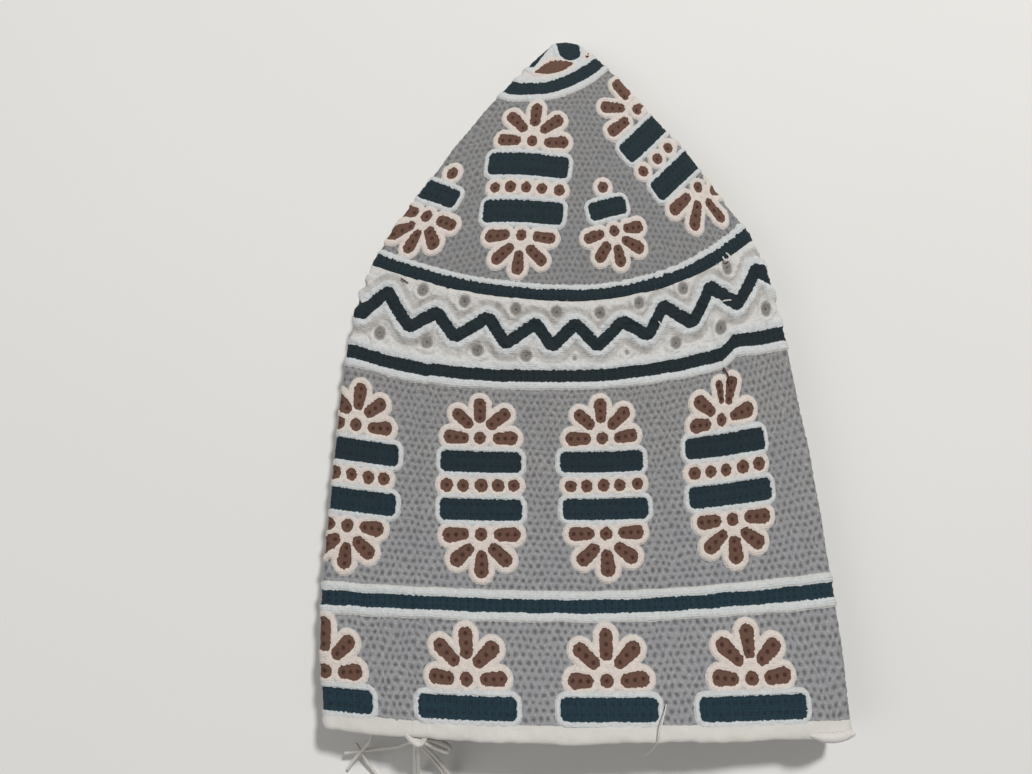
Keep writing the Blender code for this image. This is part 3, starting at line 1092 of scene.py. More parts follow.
def finished_piece(name: str, data: bpy.types.Mesh, material: bpy.types.Material,
                   nodes: tuple[str, ...]) -> bpy.types.Object:
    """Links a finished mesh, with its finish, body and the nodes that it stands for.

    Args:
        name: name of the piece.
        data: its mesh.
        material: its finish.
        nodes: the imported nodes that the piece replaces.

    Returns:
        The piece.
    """
    data.materials.clear()
    data.materials.append(material)
    piece = bpy.data.objects.new(name, data)
    bpy.context.scene.collection.objects.link(piece)
    if nodes:
        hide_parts(*nodes)
    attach(piece, "root")
    LOG.info("%s: %d faces", name, len(data.polygons))
    return piece


def grid_mesh(name: str, columns: int, rows: int, rimmed: bool) -> tuple[bpy.types.Mesh, Array]:
    """Makes a flat grid, with a rim that hangs from its edges.

    Args:
        name: name of the mesh.
        columns: how many faces across.
        rows: how many faces up.
        rimmed: whether it gets a rim.

    Returns:
        The mesh, and for each vertex its share across, its share up and 1 where it is on the rim.
    """
    mesh = bmesh.new()
    bmesh.ops.create_grid(mesh, x_segments=columns, y_segments=rows, size=0.5)
    if rimmed:
        border = [edge for edge in mesh.edges if edge.is_boundary]
        rim = bmesh.ops.extrude_edge_only(mesh, edges=border)["geom"]
        hanging = [item for item in rim if isinstance(item, bmesh.types.BMVert)]
        bmesh.ops.translate(mesh, verts=hanging, vec=Vector((0.0, 0.0, -1.0)))
        for edge in border:
            edge.smooth = False
    for face in mesh.faces:
        face.smooth = True
    data = bpy.data.meshes.new(name)
    mesh.to_mesh(data)
    mesh.free()
    places = np.empty(3 * len(data.vertices))
    data.vertices.foreach_get("co", places)
    places = places.reshape(-1, 3)
    places[:, :2] = np.clip(places[:, :2] + 0.5, 0.0, 1.0)
    places[:, 2] = -places[:, 2]
    return data, places


def set_places(data: bpy.types.Mesh, places: Array) -> None:
    """Moves the vertices of a mesh to places, in metres."""
    data.vertices.foreach_set("co", places.astype(np.float32).ravel())
    data.update()


def set_number(data: bpy.types.Mesh, name: str, values: Array) -> None:
    """Stores one number for each vertex as an attribute."""
    attribute = data.attributes.new(name, "FLOAT", "POINT")
    attribute.data.foreach_set("value", values.astype(np.float32))


def set_map(data: bpy.types.Mesh, across: Array, down: Array) -> None:
    """Stores cloth places as the UV map of a mesh, one unit for each UV_SPAN millimetres.

    Args:
        data: the mesh.
        across: place across of each vertex, in millimetres.
        down: place down of each vertex.
    """
    corner = np.empty(len(data.loops), np.int32)
    data.loops.foreach_get("vertex_index", corner)
    flat = np.stack((across[corner], down[corner]), axis=-1) / UV_SPAN
    data.uv_layers.new(name="cloth").data.foreach_set("uv", flat.astype(np.float32).ravel())


def weld(data: bpy.types.Mesh) -> None:
    """Joins the vertices of a mesh that lie in one place.

    Args:
        data: the mesh.
    """
    mesh = bmesh.new()
    mesh.from_mesh(data)
    bmesh.ops.remove_doubles(mesh, verts=mesh.verts, dist=1e-6)
    mesh.to_mesh(data)
    mesh.free()


@dataclass
class OuterSheet:
    """Stretch of the stitched outside of a piece of cloth."""

    name: str
    node: str
    sizes: CapSizes
    pitch: float
    relief: Relief = Relief()
    rim_lift: float = -0.45

    def chart_maker(self) -> "BandChart | CrownChart":
        """The chart that the sheet takes its stitches from."""
        raise NotImplementedError

    def cells(self) -> tuple[int, int]:
        """How many faces the sheet has across and down."""
        raise NotImplementedError

    def cloth_places(self, across: Array, up: Array) -> tuple[Array, Array]:
        """Cloth places of the grid's points, in millimetres."""
        raise NotImplementedError

    def build(self, fold: Fold, material: bpy.types.Material) -> bpy.types.Object:
        """Charts the sheet, lays it on the fold and dresses it.

        Args:
            fold: the folded form.
            material: the finish.

        Returns:
            The finished piece.
        """
        data, grid = grid_mesh(self.name, *self.cells(), rimmed=True)
        x, y = self.cloth_places(grid[:, 0], grid[:, 1])
        maker = self.chart_maker()
        chart = maker.chart(x, y)
        lift = self.relief.lift(chart) + maker.relief_extra(x, y)
        lift = np.where(grid[:, 2] > 0.5, self.rim_lift, lift)
        set_places(data, fold.lay(*maker.station_turn(self.sizes, x, y), lift))
        for thread, edge in chart.edges.items():
            set_number(data, thread.value, edge)
        set_number(data, "zigzag", chart.zigzag)
        set_number(data, "border", chart.border)
        set_number(data, "hole", chart.hole)
        set_map(data, *self.relief.warped(x, y))
        return finished_piece(self.name, data, material, (self.node,))


@dataclass
class BandSheet(OuterSheet):
    """Stretch of the side band between two lines round and two lines down."""

    left: float = 0.0
    right: float = 0.0
    top: float = 0.0
    bottom: float = 0.0

    def chart_maker(self) -> BandChart:
        """The band's chart."""
        return BandChart()

    def cells(self) -> tuple[int, int]:
        """How many faces the sheet has across and down."""
        return round((self.right - self.left) / self.pitch), round((self.bottom - self.top) / self.pitch)

    def cloth_places(self, across: Array, up: Array) -> tuple[Array, Array]:
        """Cloth places of the grid's points, in millimetres."""
        return self.left + across * (self.right - self.left), self.bottom + up * (self.top - self.bottom)


@dataclass
class CrownSheet(OuterSheet):
    """Sector of the crown, with square faces right up to the tip."""

    start: float = 0.0
    end: float = 0.0

    def chart_maker(self) -> CrownChart:
        """The crown's chart."""
        return CrownChart()

    def cells(self) -> tuple[int, int]:
        """How many faces the sheet has along its two straight sides."""
        count = round(CrownChart.RADIUS / self.pitch)
        return count, count

    def cloth_places(self, across: Array, up: Array) -> tuple[Array, Array]:
        """Cloth places of the grid's points: a square grid wrapped round the tip.

        Args:
            across: share across of each point.
            up: share up of each point.

        Returns:
            The places, in millimetres.
        """
        reach = np.maximum(across, up)
        share = 0.5 * np.minimum(across, up) / np.maximum(reach, 1e-9)
        share = np.where(across >= up, share, 1.0 - share)
        angle = np.radians(self.start + share * (self.end - self.start))
        reach = reach * CrownChart.RADIUS
        return reach * np.sin(angle), reach * np.cos(angle)


@dataclass
class InnerSheet:
    """Plain inside of a piece of cloth, a closed round from top to bottom."""

    name: str
    node: str
    sizes: CapSizes
    top: float
    bottom: float
    rows: int
    columns: int = 216
    lift: float = -0.50
    uneven: float = 0.04
    thickness: float = 0.25

    def build(self, fold: Fold, material: bpy.types.Material) -> bpy.types.Object:
        """Lays the inside of the cloth on the fold.

        Args:
            fold: the folded form.
            material: the finish.

        Returns:
            The finished piece.
        """
        data, grid = grid_mesh(self.name, self.columns, self.rows, rimmed=False)
        turn = 8.0 * grid[:, 0] - 4.0
        station = self.bottom + grid[:, 1] * (self.top - self.bottom)
        round_mm = turn * self.sizes.half_panel / MM
        down_mm = (station - 1.0) * self.sizes.band_tall / MM
        uneven = self.uneven * ripple(round_mm, down_mm, 9.0, 41)
        set_places(data, fold.lay(station, turn, self.lift + uneven))
        set_map(data, round_mm, down_mm)
        weld(data)
        piece = finished_piece(self.name, data, material, (self.node,))
        wall = piece.modifiers.new("inside of the cloth", "SOLIDIFY")
        wall.thickness = self.thickness * MM
        wall.offset = -1.0
        return piece


@dataclass
class HemTape:
    """Tape that binds the lower edge of the band, a soft oval roll with a stitched line."""

    sizes: CapSizes
    name: str = "hem_tape"
    columns: int = 900
    rows: int = 20
    bulge: float = 1.20
    pucker: float = 0.13
    slow_pucker: float = 0.08
    wave: float = 0.5           # how far the lower edge wanders, and its finer part
    fine_wave: float = 0.3
    squareness: float = 0.6     # 1 for an oval roll, less for a squarer one
    fullness: float = 0.7
    stitch_deep: float = 0.26
    stitch_place: float = 1.1
    stitch_half: float = 0.35
    stitch_pitch: float = 3.1
    map_turn: float = 20.0      # millimetres of the map once round the roll

    def build(self, fold: Fold, material: bpy.types.Material) -> bpy.types.Object:
        """Rolls the tape round the edge.

        Args:
            fold: the folded form.
            material: the finish.

        Returns:
            The finished piece.
        """
        data, grid = grid_mesh(self.name, self.columns, self.rows, rimmed=False)
        sizes = self.sizes
        turn = 8.0 * grid[:, 0] - 4.0
        angle = -TURN * grid[:, 1]
        half_tall = 0.5 * (sizes.hem_tall + sizes.piece_gap) / sizes.band_tall
        cosine, sine = np.cos(angle), np.sin(angle)
        squared = np.sign(cosine) * np.abs(cosine) ** self.squareness
        station = 2.0 + half_tall - half_tall * squared
        round_mm = turn * sizes.half_panel / MM
        along_mm = squared * sizes.hem_tall * 0.5 / MM
        level = 0.0 * round_mm
        wave = self.wave * ripple(round_mm, level, 30.0, 63)
        wave = wave + self.fine_wave * ripple(round_mm, level, 7.0, 64)
        station = station + wave * smooth(-squared, 0.0, 1.0) * 0.5 * MM / sizes.band_tall
        stitch = hump(along_mm, 1.0, self.stitch_place, self.stitch_half)
        stitch *= 0.55 + 0.45 * np.cos(TURN * round_mm / self.stitch_pitch)
        pucker = self.pucker * ripple(round_mm, along_mm, 3.4, 61)
        pucker = pucker + self.slow_pucker * ripple(round_mm, 0.2 * along_mm, 14.0, 62)
        bulge = self.bulge - self.stitch_deep * stitch + pucker
        set_places(data, fold.lay(station, turn, np.sign(sine) * np.abs(sine) ** self.fullness * bulge))
        set_map(data, round_mm, along_mm + self.map_turn * grid[:, 1])
        weld(data)
        return finished_piece(self.name, data, material, ("hem_binding",))


class Lies(Enum):
    """What the points of a strand are measured on."""

    FREE = "free"
    BAND = "band"
    CROWN = "crown"


@dataclass(frozen=True)
class Strand:
    """One short thread: points in millimetres, and its radius along the way.

    A free strand has points in space. On the band or the crown a point is a cloth place and a lift.
    """

    points: tuple[Triple, ...]
    radius: float
    lies: Lies = Lies.FREE
    thin_ends: Pair = (1.0, 1.0)

    def places(self, fold: Fold) -> Array:
        """Places of the points in metres.

        Args:
            fold: the folded form.

        Returns:
            One row of x, y and z for each point.
        """
        rows = np.array(self.points)
        if self.lies is Lies.FREE:
            return rows * MM
        chart = BandChart if self.lies is Lies.BAND else CrownChart
        return fold.lay(*chart.station_turn(fold.sizes, rows[:, 0], rows[:, 1]), rows[:, 2])


@dataclass(frozen=True)
class Strands:
    """Short loose threads, swept as round strands."""

    name: str
    slot: str
    strands: tuple[Strand, ...]
    round_steps: int = 3
    span_steps: int = 7

    def build(self, fold: Fold, material: bpy.types.Material) -> bpy.types.Object:
        """Sweeps the strands and dresses them.

        Args:
            fold: the folded form.
            material: the finish.

        Returns:
            The finished piece.
        """
        curve = bpy.data.curves.new(self.name, "CURVE")
        curve.dimensions = "3D"
        curve.resolution_u = self.span_steps
        curve.bevel_depth = MM
        curve.bevel_resolution = self.round_steps
        curve.use_fill_caps = True
        for strand in self.strands:
            places = strand.places(fold)
            spline = curve.splines.new("NURBS")
            spline.points.add(len(places) - 1)
            spline.order_u = 3
            spline.use_endpoint_u = True
            for point, place in zip(spline.points, places):
                point.co = (*place, 1.0)
                point.radius = strand.radius
            spline.points[0].radius *= strand.thin_ends[0]
            spline.points[-1].radius *= strand.thin_ends[1]
        path = bpy.data.objects.new(self.name + "_path", curve)
        data = bpy.data.meshes.new_from_object(path)
        bpy.data.objects.remove(path)
        bpy.data.curves.remove(curve)
        data.name = self.name
        places = np.empty(3 * len(data.vertices))
        data.vertices.foreach_get("co", places)
        places = places.reshape(-1, 3) / MM
        set_map(data, places[:, 0] + places[:, 2], places[:, 1])
        data.shade_smooth()
        return finished_piece(self.name, data, material, ())


WHITE_STRANDS = (
    Strand(((-45.6, -106.6, 18.2), (-43.6, -109.2, 17.6), (-41.4, -109.4, 17.4), (-40.6, -107.0, 18.2)),
           0.75),
    Strand(((-43.3, -108.4, 16.9), (-45.8, -109.8, 13.0), (-49.0, -111.6, 9.0), (-54.8, -112.8, 5.0),
            (-59.9, -113.5, 4.0), (-64.1, -114.2, 3.0)), 0.50),
    Strand(((-53.4, -101.5, 12.0), (-55.4, -107.5, 11.4), (-56.6, -110.8, 8.4), (-58.6, -112.6, 5.0),
            (-61.8, -116.1, 2.0), (-63.6, -118.8, 0.4)), 0.45),
    Strand(((-60.9, -111.5, 4.6), (-59.2, -114.7, 3.0), (-56.9, -118.7, 1.0), (-55.4, -120.5, 0.3)), 0.38),
    Strand(((-43.3, -108.4, 17.0), (-44.6, -114.7, 7.0), (-45.1, -121.2, 0.4)), 0.55),
    Strand(((-42.6, -108.4, 17.0), (-43.7, -114.7, 7.4), (-44.2, -121.2, 0.4)), 0.50),
    Strand(((-42.4, -108.5, 17.0), (-39.5, -113.5, 8.0), (-37.4, -117.0, 4.0), (-35.2, -121.0, 0.4)), 0.50),
    Strand(((-43.1, -108.7, 16.6), (-40.5, -114.2, 7.0), (-38.1, -118.0, 3.0), (-36.5, -121.0, 0.4)), 0.42),
    Strand(((-44.0, -108.2, 17.6), (-40.2, -108.0, 17.0), (-37.0, -109.4, 14.0), (-34.6, -111.0, 12.0),
            (-35.4, -112.4, 12.0), (-37.7, -111.2, 13.0), (-41.3, -108.9, 16.4)), 0.62),
    Strand(((20.8, -99.4, 20.6), (20.2, -100.6, 21.9), (19.2, -102.8, 23.2), (18.1, -106.6, 23.4),
            (17.4, -110.4, 19.0), (16.8, -113.6, 9.0)), 0.17),
    Strand(((53.2, 73.8, 0.8), (53.6, 75.2, 1.6), (55.4, 74.0, 1.9), (55.2, 72.6, 1.2), (54.0, 72.4, 0.7)),
           0.28, Lies.CROWN),
    Strand(((59.4, 119.5, 0.9), (62.0, 119.9, 1.3), (65.5, 120.2, 1.5), (68.5, 119.9, 1.5),
            (71.0, 119.5, 1.3)), 1.35, Lies.BAND, (0.25, 0.60)),
    Strand(((51.6, 10.0, 0.8), (52.9, 10.3, 1.1), (54.4, 10.7, 0.8)), 0.24, Lies.BAND),
    Strand(((28.2, 9.6, 0.8), (28.7, 10.4, 1.1), (29.0, 11.4, 0.8)), 0.20, Lies.BAND),
)
BROWN_STRANDS = (
    Strand(((48.3, 27.4, 0.9), (48.9, 28.8, 1.4), (49.4, 30.2, 1.4), (49.3, 32.3, 0.9)), 0.26, Lies.BAND),
    Strand(((-59.8, 1.2, 0.8), (-58.4, 1.5, 1.1), (-57.0, 1.9, 0.8)), 0.20, Lies.BAND),
)


# Finishes.

Colour = Triple


class Value:
    """A number in a material's node tree. Arithmetic on it adds Math nodes."""

    def __init__(self, tree: bpy.types.NodeTree, socket: bpy.types.NodeSocket) -> None:
        """Wraps a socket of the tree."""
        self.tree = tree
        self.socket = socket

    def math(self, operation: str, *others: "Value | float") -> "Value":
        """Adds a Math node."""
        return math_node(self.tree, operation, self, *others)

    def __add__(self, other: "Value | float") -> "Value":
        """Sum."""
        return self.math("ADD", other)

    def __radd__(self, other: float) -> "Value":
        """Sum, with the number first."""
        return self.math("ADD", other)

    def __sub__(self, other: "Value | float") -> "Value":
        """Difference."""
        return self.math("SUBTRACT", other)

    def __rsub__(self, other: float) -> "Value":
        """Difference, with the number first."""
        return math_node(self.tree, "SUBTRACT", other, self)

    def __mul__(self, other: "Value | float") -> "Value":
        """Product."""
        return self.math("MULTIPLY", other)

    def __rmul__(self, other: float) -> "Value":
        """Product, with the number first."""
        return self.math("MULTIPLY", other)

    def __truediv__(self, other: "Value | float") -> "Value":
        """Quotient."""
        return self.math("DIVIDE", other)

    def sine(self) -> "Value":
        """Sine of an angle in radians."""
        return self.math("SINE")

    def floor(self) -> "Value":
        """Whole number below."""
        return self.math("FLOOR")

    def fraction(self) -> "Value":
        """What is above the whole number below."""
        return self.math("FRACT")

    def least(self, other: "Value | float") -> "Value":
        """The smaller of two."""
        return self.math("MINIMUM", other)


def math_node(tree: bpy.types.NodeTree, operation: str, *items: "Value | float") -> Value:
    """Adds a Math node to a tree.

    Args:
        tree: the node tree.
        operation: what the node does.
        items: its inputs in order.

    Returns:
        Its result.
    """
    node = tree.nodes.new("ShaderNodeMath")
    node.operation = operation
    for socket, item in zip(node.inputs, items):
        if isinstance(item, Value):
            tree.links.new(item.socket, socket)
        else:
            socket.default_value = item
    return Value(tree, node.outputs[0])


class Finish:
    """A material in the making."""

    def __init__(self, name: str, roughness: float) -> None:
        """Starts a material.

        Args:
            name: its name.
            roughness: its roughness.
        """
        self.material = bpy.data.materials.new(name)
        self.material.use_nodes = True
        self.tree = self.material.node_tree
        self.shader = self.tree.nodes["Principled BSDF"]
        self.shader.inputs["Roughness"].default_value = roughness
        self.shader.inputs["Specular IOR Level"].default_value = 0.25

    def node(self, kind: str, settings: dict[str, object],
             values: dict[str | int, object]) -> bpy.types.Node:
        """Adds any other node.

        Args:
            kind: its type.
            settings: its settings.
            values: a value or a link for each of its sockets.

        Returns:
            The node.
        """
        node = self.tree.nodes.new(kind)
        for key, setting in settings.items():
            setattr(node, key, setting)
        for key, value in values.items():
            socket = node.inputs[key]
            if isinstance(value, Value):
                self.tree.links.new(value.socket, socket)
            elif isinstance(value, bpy.types.NodeSocket):
                self.tree.links.new(value, socket)
            else:
                socket.default_value = value
        return node

    def number(self, name: str) -> Value:
        """Attribute of the piece as a number."""
        node = self.node("ShaderNodeAttribute", {"attribute_name": name}, {})
        return Value(self.tree, node.outputs["Fac"])

    def cloth_place(self) -> tuple[Value, Value, bpy.types.NodeSocket]:
        """Place on the cloth in millimetres, as two numbers and as a vector.

        Returns:
            The place across, the place down and both as a vector.
        """
        flat = self.node("ShaderNodeUVMap", {"uv_map": "cloth"}, {})
        scaled = self.node("ShaderNodeVectorMath", {"operation": "SCALE"},
                           {0: flat.outputs["UV"], "Scale": UV_SPAN})
        parts = self.node("ShaderNodeSeparateXYZ", {}, {0: scaled.outputs[0]})
        return Value(self.tree, parts.outputs[0]), Value(self.tree, parts.outputs[1]), scaled.outputs[0]

    def noise(self, vector: bpy.types.NodeSocket, scale: float, detail: float = 2.0) -> Value:
        """Noise between about -0.5 and 0.5."""
        node = self.node("ShaderNodeTexNoise", {}, {"Vector": vector, "Scale": scale, "Detail": detail})
        return Value(self.tree, node.outputs["Fac"]) - 0.5

    def waves(self, phase: Value, place: bpy.types.NodeSocket, scale: float, stray: float) -> Value:
        """Waves that a noise pushes out of line."""
        return (phase + self.noise(place, scale) * stray).sine()

    def step(self, value: Value, low: float, high: float) -> Value:
        """Soft step from 0 at low to 1 at high.

        Args:
            value: what is compared.
            low: where the step starts.
            high: where it ends.

        Returns:
            A number from 0 to 1.
        """
        node = self.node("ShaderNodeMapRange", {"interpolation_type": "SMOOTHSTEP"},
                         {"Value": value, "From Min": low, "From Max": high})
        return Value(self.tree, node.outputs["Result"])

    def mix(self, share: Value, first: object, second: object) -> bpy.types.NodeSocket:
        """Mixes two colours.

        Args:
            share: how much of the second there is.
            first: a colour, as three numbers or a link.
            second: another.

        Returns:
            The mixed colour.
        """
        ends = {6: first, 7: second}
        colours = {index: (*end, 1.0) if isinstance(end, tuple) else end for index, end in ends.items()}
        return self.node("ShaderNodeMix", {"data_type": "RGBA"}, {0: share, **colours}).outputs[2]

    def raise_surface(self, height: Value, strength: float, distance: float) -> None:
        """Bumps the surface.

        Args:
            height: the height that it follows.
            strength: how much of the bump shows.
            distance: how high it is, in metres.
        """
        bump = self.node("ShaderNodeBump", {},
                         {"Height": height, "Strength": strength, "Distance": distance})
        self.tree.links.new(bump.outputs["Normal"], self.shader.inputs["Normal"])

    def colour(self, colour: bpy.types.NodeSocket) -> None:
        """Gives the surface its colour."""
        self.tree.links.new(colour, self.shader.inputs["Base Color"])


class ClothFinish(Finish):
    """A material of the embroidered cloth in the making, with the chart's distances at hand."""

    def __init__(self, name: str, roughness: float) -> None:
        """Reads the map and the chart of the piece, its edges a little frayed.

        Args:
            name: its name.
            roughness: its roughness.
        """
        super().__init__(name, roughness)
        self.across, self.down, self.place = self.cloth_place()
        self.fray = self.noise(self.place, 1.15, 3.0) * 1.1
        self.teal = self.number("teal") + self.fray - 0.20
        self.brown = self.number("brown") + self.fray - 0.30
        self.grey = self.number("grey")
        self.border = self.number("border") + self.fray * 0.6
        self.hole = self.number("hole") + self.noise(self.place, 1.4) * 0.35
        self.spot = 1.0 - self.step(self.hole, 0.32, 0.80)
        self.mottle = self.noise(self.place, 0.45, 3.0)

    def inside(self, edge: Value, low: float, high: float) -> Value:
        """How far inside a patch, from 0 at low to 1 at high."""
        return self.step(edge * -1.0, low, high)

    def band(self, value: Value, middle: float, outer: float, inner: float) -> Value:
        """Soft band about a value."""
        return self.step((value - middle).math("ABSOLUTE"), outer, inner)


@dataclass(frozen=True)
class EmbroideredCloth:
    """Outside of the cap: grey eyelet net, puffed white borders and patches of coloured thread."""

    name: str = "embroidered_cloth"
    net: Colour = (0.325, 0.325, 0.332)
    net_warm: Colour = (0.290, 0.280, 0.268)
    # painted shade: the net's colour in the dip round each hole
    net_dip_shade: Colour = (0.240, 0.238, 0.243)
    net_hole: Colour = (0.148, 0.143, 0.142)
    # painted highlight on the raised strands of the net
    net_strand_highlight: Colour = (0.480, 0.485, 0.490)
    net_cool: Colour = (0.230, 0.240, 0.290)
    white: Colour = (0.690, 0.675, 0.650)
    white_cool: Colour = (0.645, 0.670, 0.670)
    white_warm: Colour = (0.750, 0.665, 0.605)
    # painted shade: the colour that stands in for the shade in the zigzag's valley and along the borders'
    # outer edge
    valley: Colour = (0.330, 0.305, 0.280)
    teal: Colour = (0.017, 0.028, 0.033)
    teal_blue: Colour = (0.018, 0.044, 0.062)
    teal_dark: Colour = (0.012, 0.020, 0.027)
    brown: Colour = (0.150, 0.080, 0.058)
    brown_dark: Colour = (0.055, 0.023, 0.016)
    grey: Colour = (0.330, 0.310, 0.295)
    grey_dark: Colour = (0.150, 0.138, 0.130)
    roughness: float = 0.88

    RIB_PITCH = 0.85
    WEFT_PITCH = 0.55
    WARP_PITCH = 0.6
    BORDER_ROW_PITCH = 0.62
    BUMP_STRENGTH = 0.6
    BUMP_HIGH = 0.00025

    def net_holes(self, cloth: ClothFinish, relief: Relief) -> tuple[Value, Value]:
        """Distance to the nearest hole of the net, and the raised strands between the holes.

        Args:
            cloth: the material in the making.
            relief: the sizes of the net that the cloth's mesh has too.

        Returns:
            The distance in millimetres, and how much of a strand there is.
        """
        across, down, place = cloth.across, cloth.down, cloth.place
        shift = ((down / relief.net_down).floor() * 0.5).fraction()
        cell = ((across / relief.net_across + shift).fraction() - 0.5) * relief.net_across
        cell_down = ((down / relief.net_down).fraction() - 0.5) * relief.net_down
        apart = (cell * cell + cell_down * cell_down).math("SQRT") + cloth.noise(place, 0.9, 3.0) * 0.55
        apart = apart + cloth.noise(place, 0.31) * 0.6
        rising = cloth.waves(across * 3.9 + down * 2.6, place, 0.7, 6.0)
        falling = cloth.waves(across * 3.7 - down * 2.9, place, 0.8, 6.0)
        strand = cloth.step(rising.math("MAXIMUM", falling), 0.72, 1.0) * cloth.step(apart, 0.45, 0.9)
        return apart, strand

    def net_colour(self, cloth: ClothFinish, apart: Value, strand: Value) -> bpy.types.NodeSocket:
        """Colour of the eyelet net, warmer near the crown seam, with painted shade in the dip round each
        hole and a painted highlight on the raised strands.

        Args:
            cloth: the material in the making.
            apart: distance to the nearest hole.
            strand: how much of a raised strand there is, painted lighter as a highlight.

        Returns:
            The colour.
        """
        place = cloth.place
        # painted shade in the dip round each hole, going to the hole's own dark in the middle
        net = cloth.mix(cloth.step(apart, 0.18, 0.56), self.net_hole, self.net_dip_shade)
        low_down = cloth.step(cloth.down + cloth.noise(place, 0.04) * 40.0, 26.0, 85.0)
        plain = cloth.mix(low_down, self.net_warm, self.net)
        net = cloth.mix(cloth.step(apart + cloth.noise(place, 0.55) * 0.9, 0.40, 1.0), net, plain)
        # painted highlight on the raised strands between the holes
        net = cloth.mix(strand * 0.55, net, self.net_strand_highlight)
        tint = cloth.step(cloth.noise(place, 0.09, 2.0), -0.16, 0.16)
        return cloth.mix(tint * 0.16, net, self.net_cool)

    def white_colour(self, cloth: ClothFinish) -> bpy.types.NodeSocket:
        """Colour of the borders, cool by the teal and warm by the brown, with painted shade in the zigzag's
        valley and along the borders' outer edge.

        Args:
            cloth: the material in the making.

        Returns:
            The colour.
        """
        cool = 1.0 - cloth.step(cloth.teal, 0.6, 3.0)
        warm = cloth.step(cloth.teal - cloth.brown, -0.6, 1.2) * (1.0 - cloth.step(cloth.brown, 0.7, 2.6))
        white = cloth.mix(cool, self.white, self.white_cool)
        white = cloth.mix(warm, white, self.white_warm)
        # painted shade in the valley that runs beside the zigzag between the puffed borders
        low = cloth.band(cloth.number("zigzag") + cloth.fray * 0.8, 3.1, 1.5, 0.3)
        white = cloth.mix(low * (cloth.noise(cloth.place, 0.10) * 1.6 + 0.52), white, self.valley)
        # painted shade along the outer edge of the borders, where they step down to the net
        return cloth.mix(cloth.band(cloth.border, -0.15, 0.55, 0.05) * 0.10, white, self.valley)

    def dot_colour(self, cloth: ClothFinish) -> bpy.types.NodeSocket:
        """Colour of the grey dots, with a darker ring and eyelet."""
        ring = cloth.band(cloth.grey, -0.95, 0.55, 0.15) * 0.55
        return cloth.mix(ring.math("MAXIMUM", cloth.spot), self.grey, self.grey_dark)

    def teal_colour(self, cloth: ClothFinish) -> bpy.types.NodeSocket:
        """Colour of the ribbed teal thread, bluer lower down.

        Args:
            cloth: the material in the making.

        Returns:
            The colour.
        """
        ribs = ((cloth.across * (TURN / self.RIB_PITCH)).sine() * 0.5 + 0.5) * 0.35
        dark = (ribs + cloth.mottle * 0.9 + cloth.spot * 0.50).least(1.0)
        thread = cloth.mix(cloth.step(cloth.down, 20.0, 100.0), self.teal, self.teal_blue)
        return cloth.mix(dark, thread, self.teal_dark)

    def brown_colour(self, cloth: ClothFinish) -> bpy.types.NodeSocket:
        """Colour of the brown thread, darker in its eyelets and in blots."""
        blot = (cloth.spot * 0.85 + cloth.step(cloth.mottle, 0.02, 0.30) * 0.35).least(1.0)
        return cloth.mix(blot, self.brown, self.brown_dark)

    def stitch_height(self, cloth: ClothFinish, strand: Value) -> Value:
        """Height of the single threads, for the bump.

        Args:
            cloth: the material in the making.
            strand: how much of a raised strand there is.

        Returns:
            The height, from about -1 to 1.
        """
        weft = cloth.waves(cloth.across * (TURN / self.WEFT_PITCH), cloth.place, 0.5, 5.0)
        warp = cloth.waves(cloth.down * (TURN / self.WARP_PITCH), cloth.place, 0.6, 5.0)
        rows = (cloth.border * (TURN / self.BORDER_ROW_PITCH)).sine() * cloth.inside(cloth.border, 0.0, 0.2)
        fuzz = cloth.noise(cloth.place, 1.3, 4.0)
        return weft * 0.14 + warp * 0.14 + rows * 0.18 + fuzz * 1.3 + strand * 0.6

    def build(self, relief: Relief) -> bpy.types.Material:
        """Makes the material.

        Args:
            relief: the sizes of the net that the cloth's mesh has too.

        Returns:
            The material.
        """
        cloth = ClothFinish(self.name, self.roughness)
        apart, strand = self.net_holes(cloth, relief)
        colour = self.net_colour(cloth, apart, strand)
        colour = cloth.mix(cloth.inside(cloth.border, -0.08, 0.12), colour, self.white_colour(cloth))
        colour = cloth.mix(cloth.inside(cloth.grey, -0.12, 0.25), colour, self.dot_colour(cloth))
        colour = cloth.mix(cloth.inside(cloth.teal, -0.06, 0.08), colour, self.teal_colour(cloth))
        colour = cloth.mix(cloth.inside(cloth.brown, -0.06, 0.08), colour, self.brown_colour(cloth))
        shade = cloth.step(cloth.noise(cloth.place, 0.8, 4.0), -0.35, 0.30) * 0.12 + 0.90
        grain = cloth.node("ShaderNodeCombineColor", {}, {"Red": shade, "Green": shade, "Blue": shade})
        shaded = cloth.node("ShaderNodeMix", {"data_type": "RGBA", "blend_type": "MULTIPLY"},
                            {0: 1.0, 6: colour, 7: grain.outputs[0]})
        cloth.colour(shaded.outputs[2])
        cloth.raise_surface(self.stitch_height(cloth, strand), self.BUMP_STRENGTH, self.BUMP_HIGH)
        return cloth.material


def shaded_crown_cloth() -> EmbroideredCloth:
    """The same cloth on the crown, with greener teal and a warmer net, the net painted darker than the
    band's as shade against the lamp that the crown faces more.

    Returns:
        Its finish.
    """
    # net painted darker than the band's as shade, since the crown takes more of the lamp's light
    net = (0.260, 0.257, 0.251)
    return EmbroideredCloth("shaded_crown_cloth", net=net, net_warm=net, net_dip_shade=(0.216, 0.212, 0.207),
                            net_hole=(0.152, 0.147, 0.143), net_strand_highlight=(0.40, 0.40, 0.40),
                            teal=(0.020, 0.036, 0.043), teal_blue=(0.019, 0.034, 0.041))


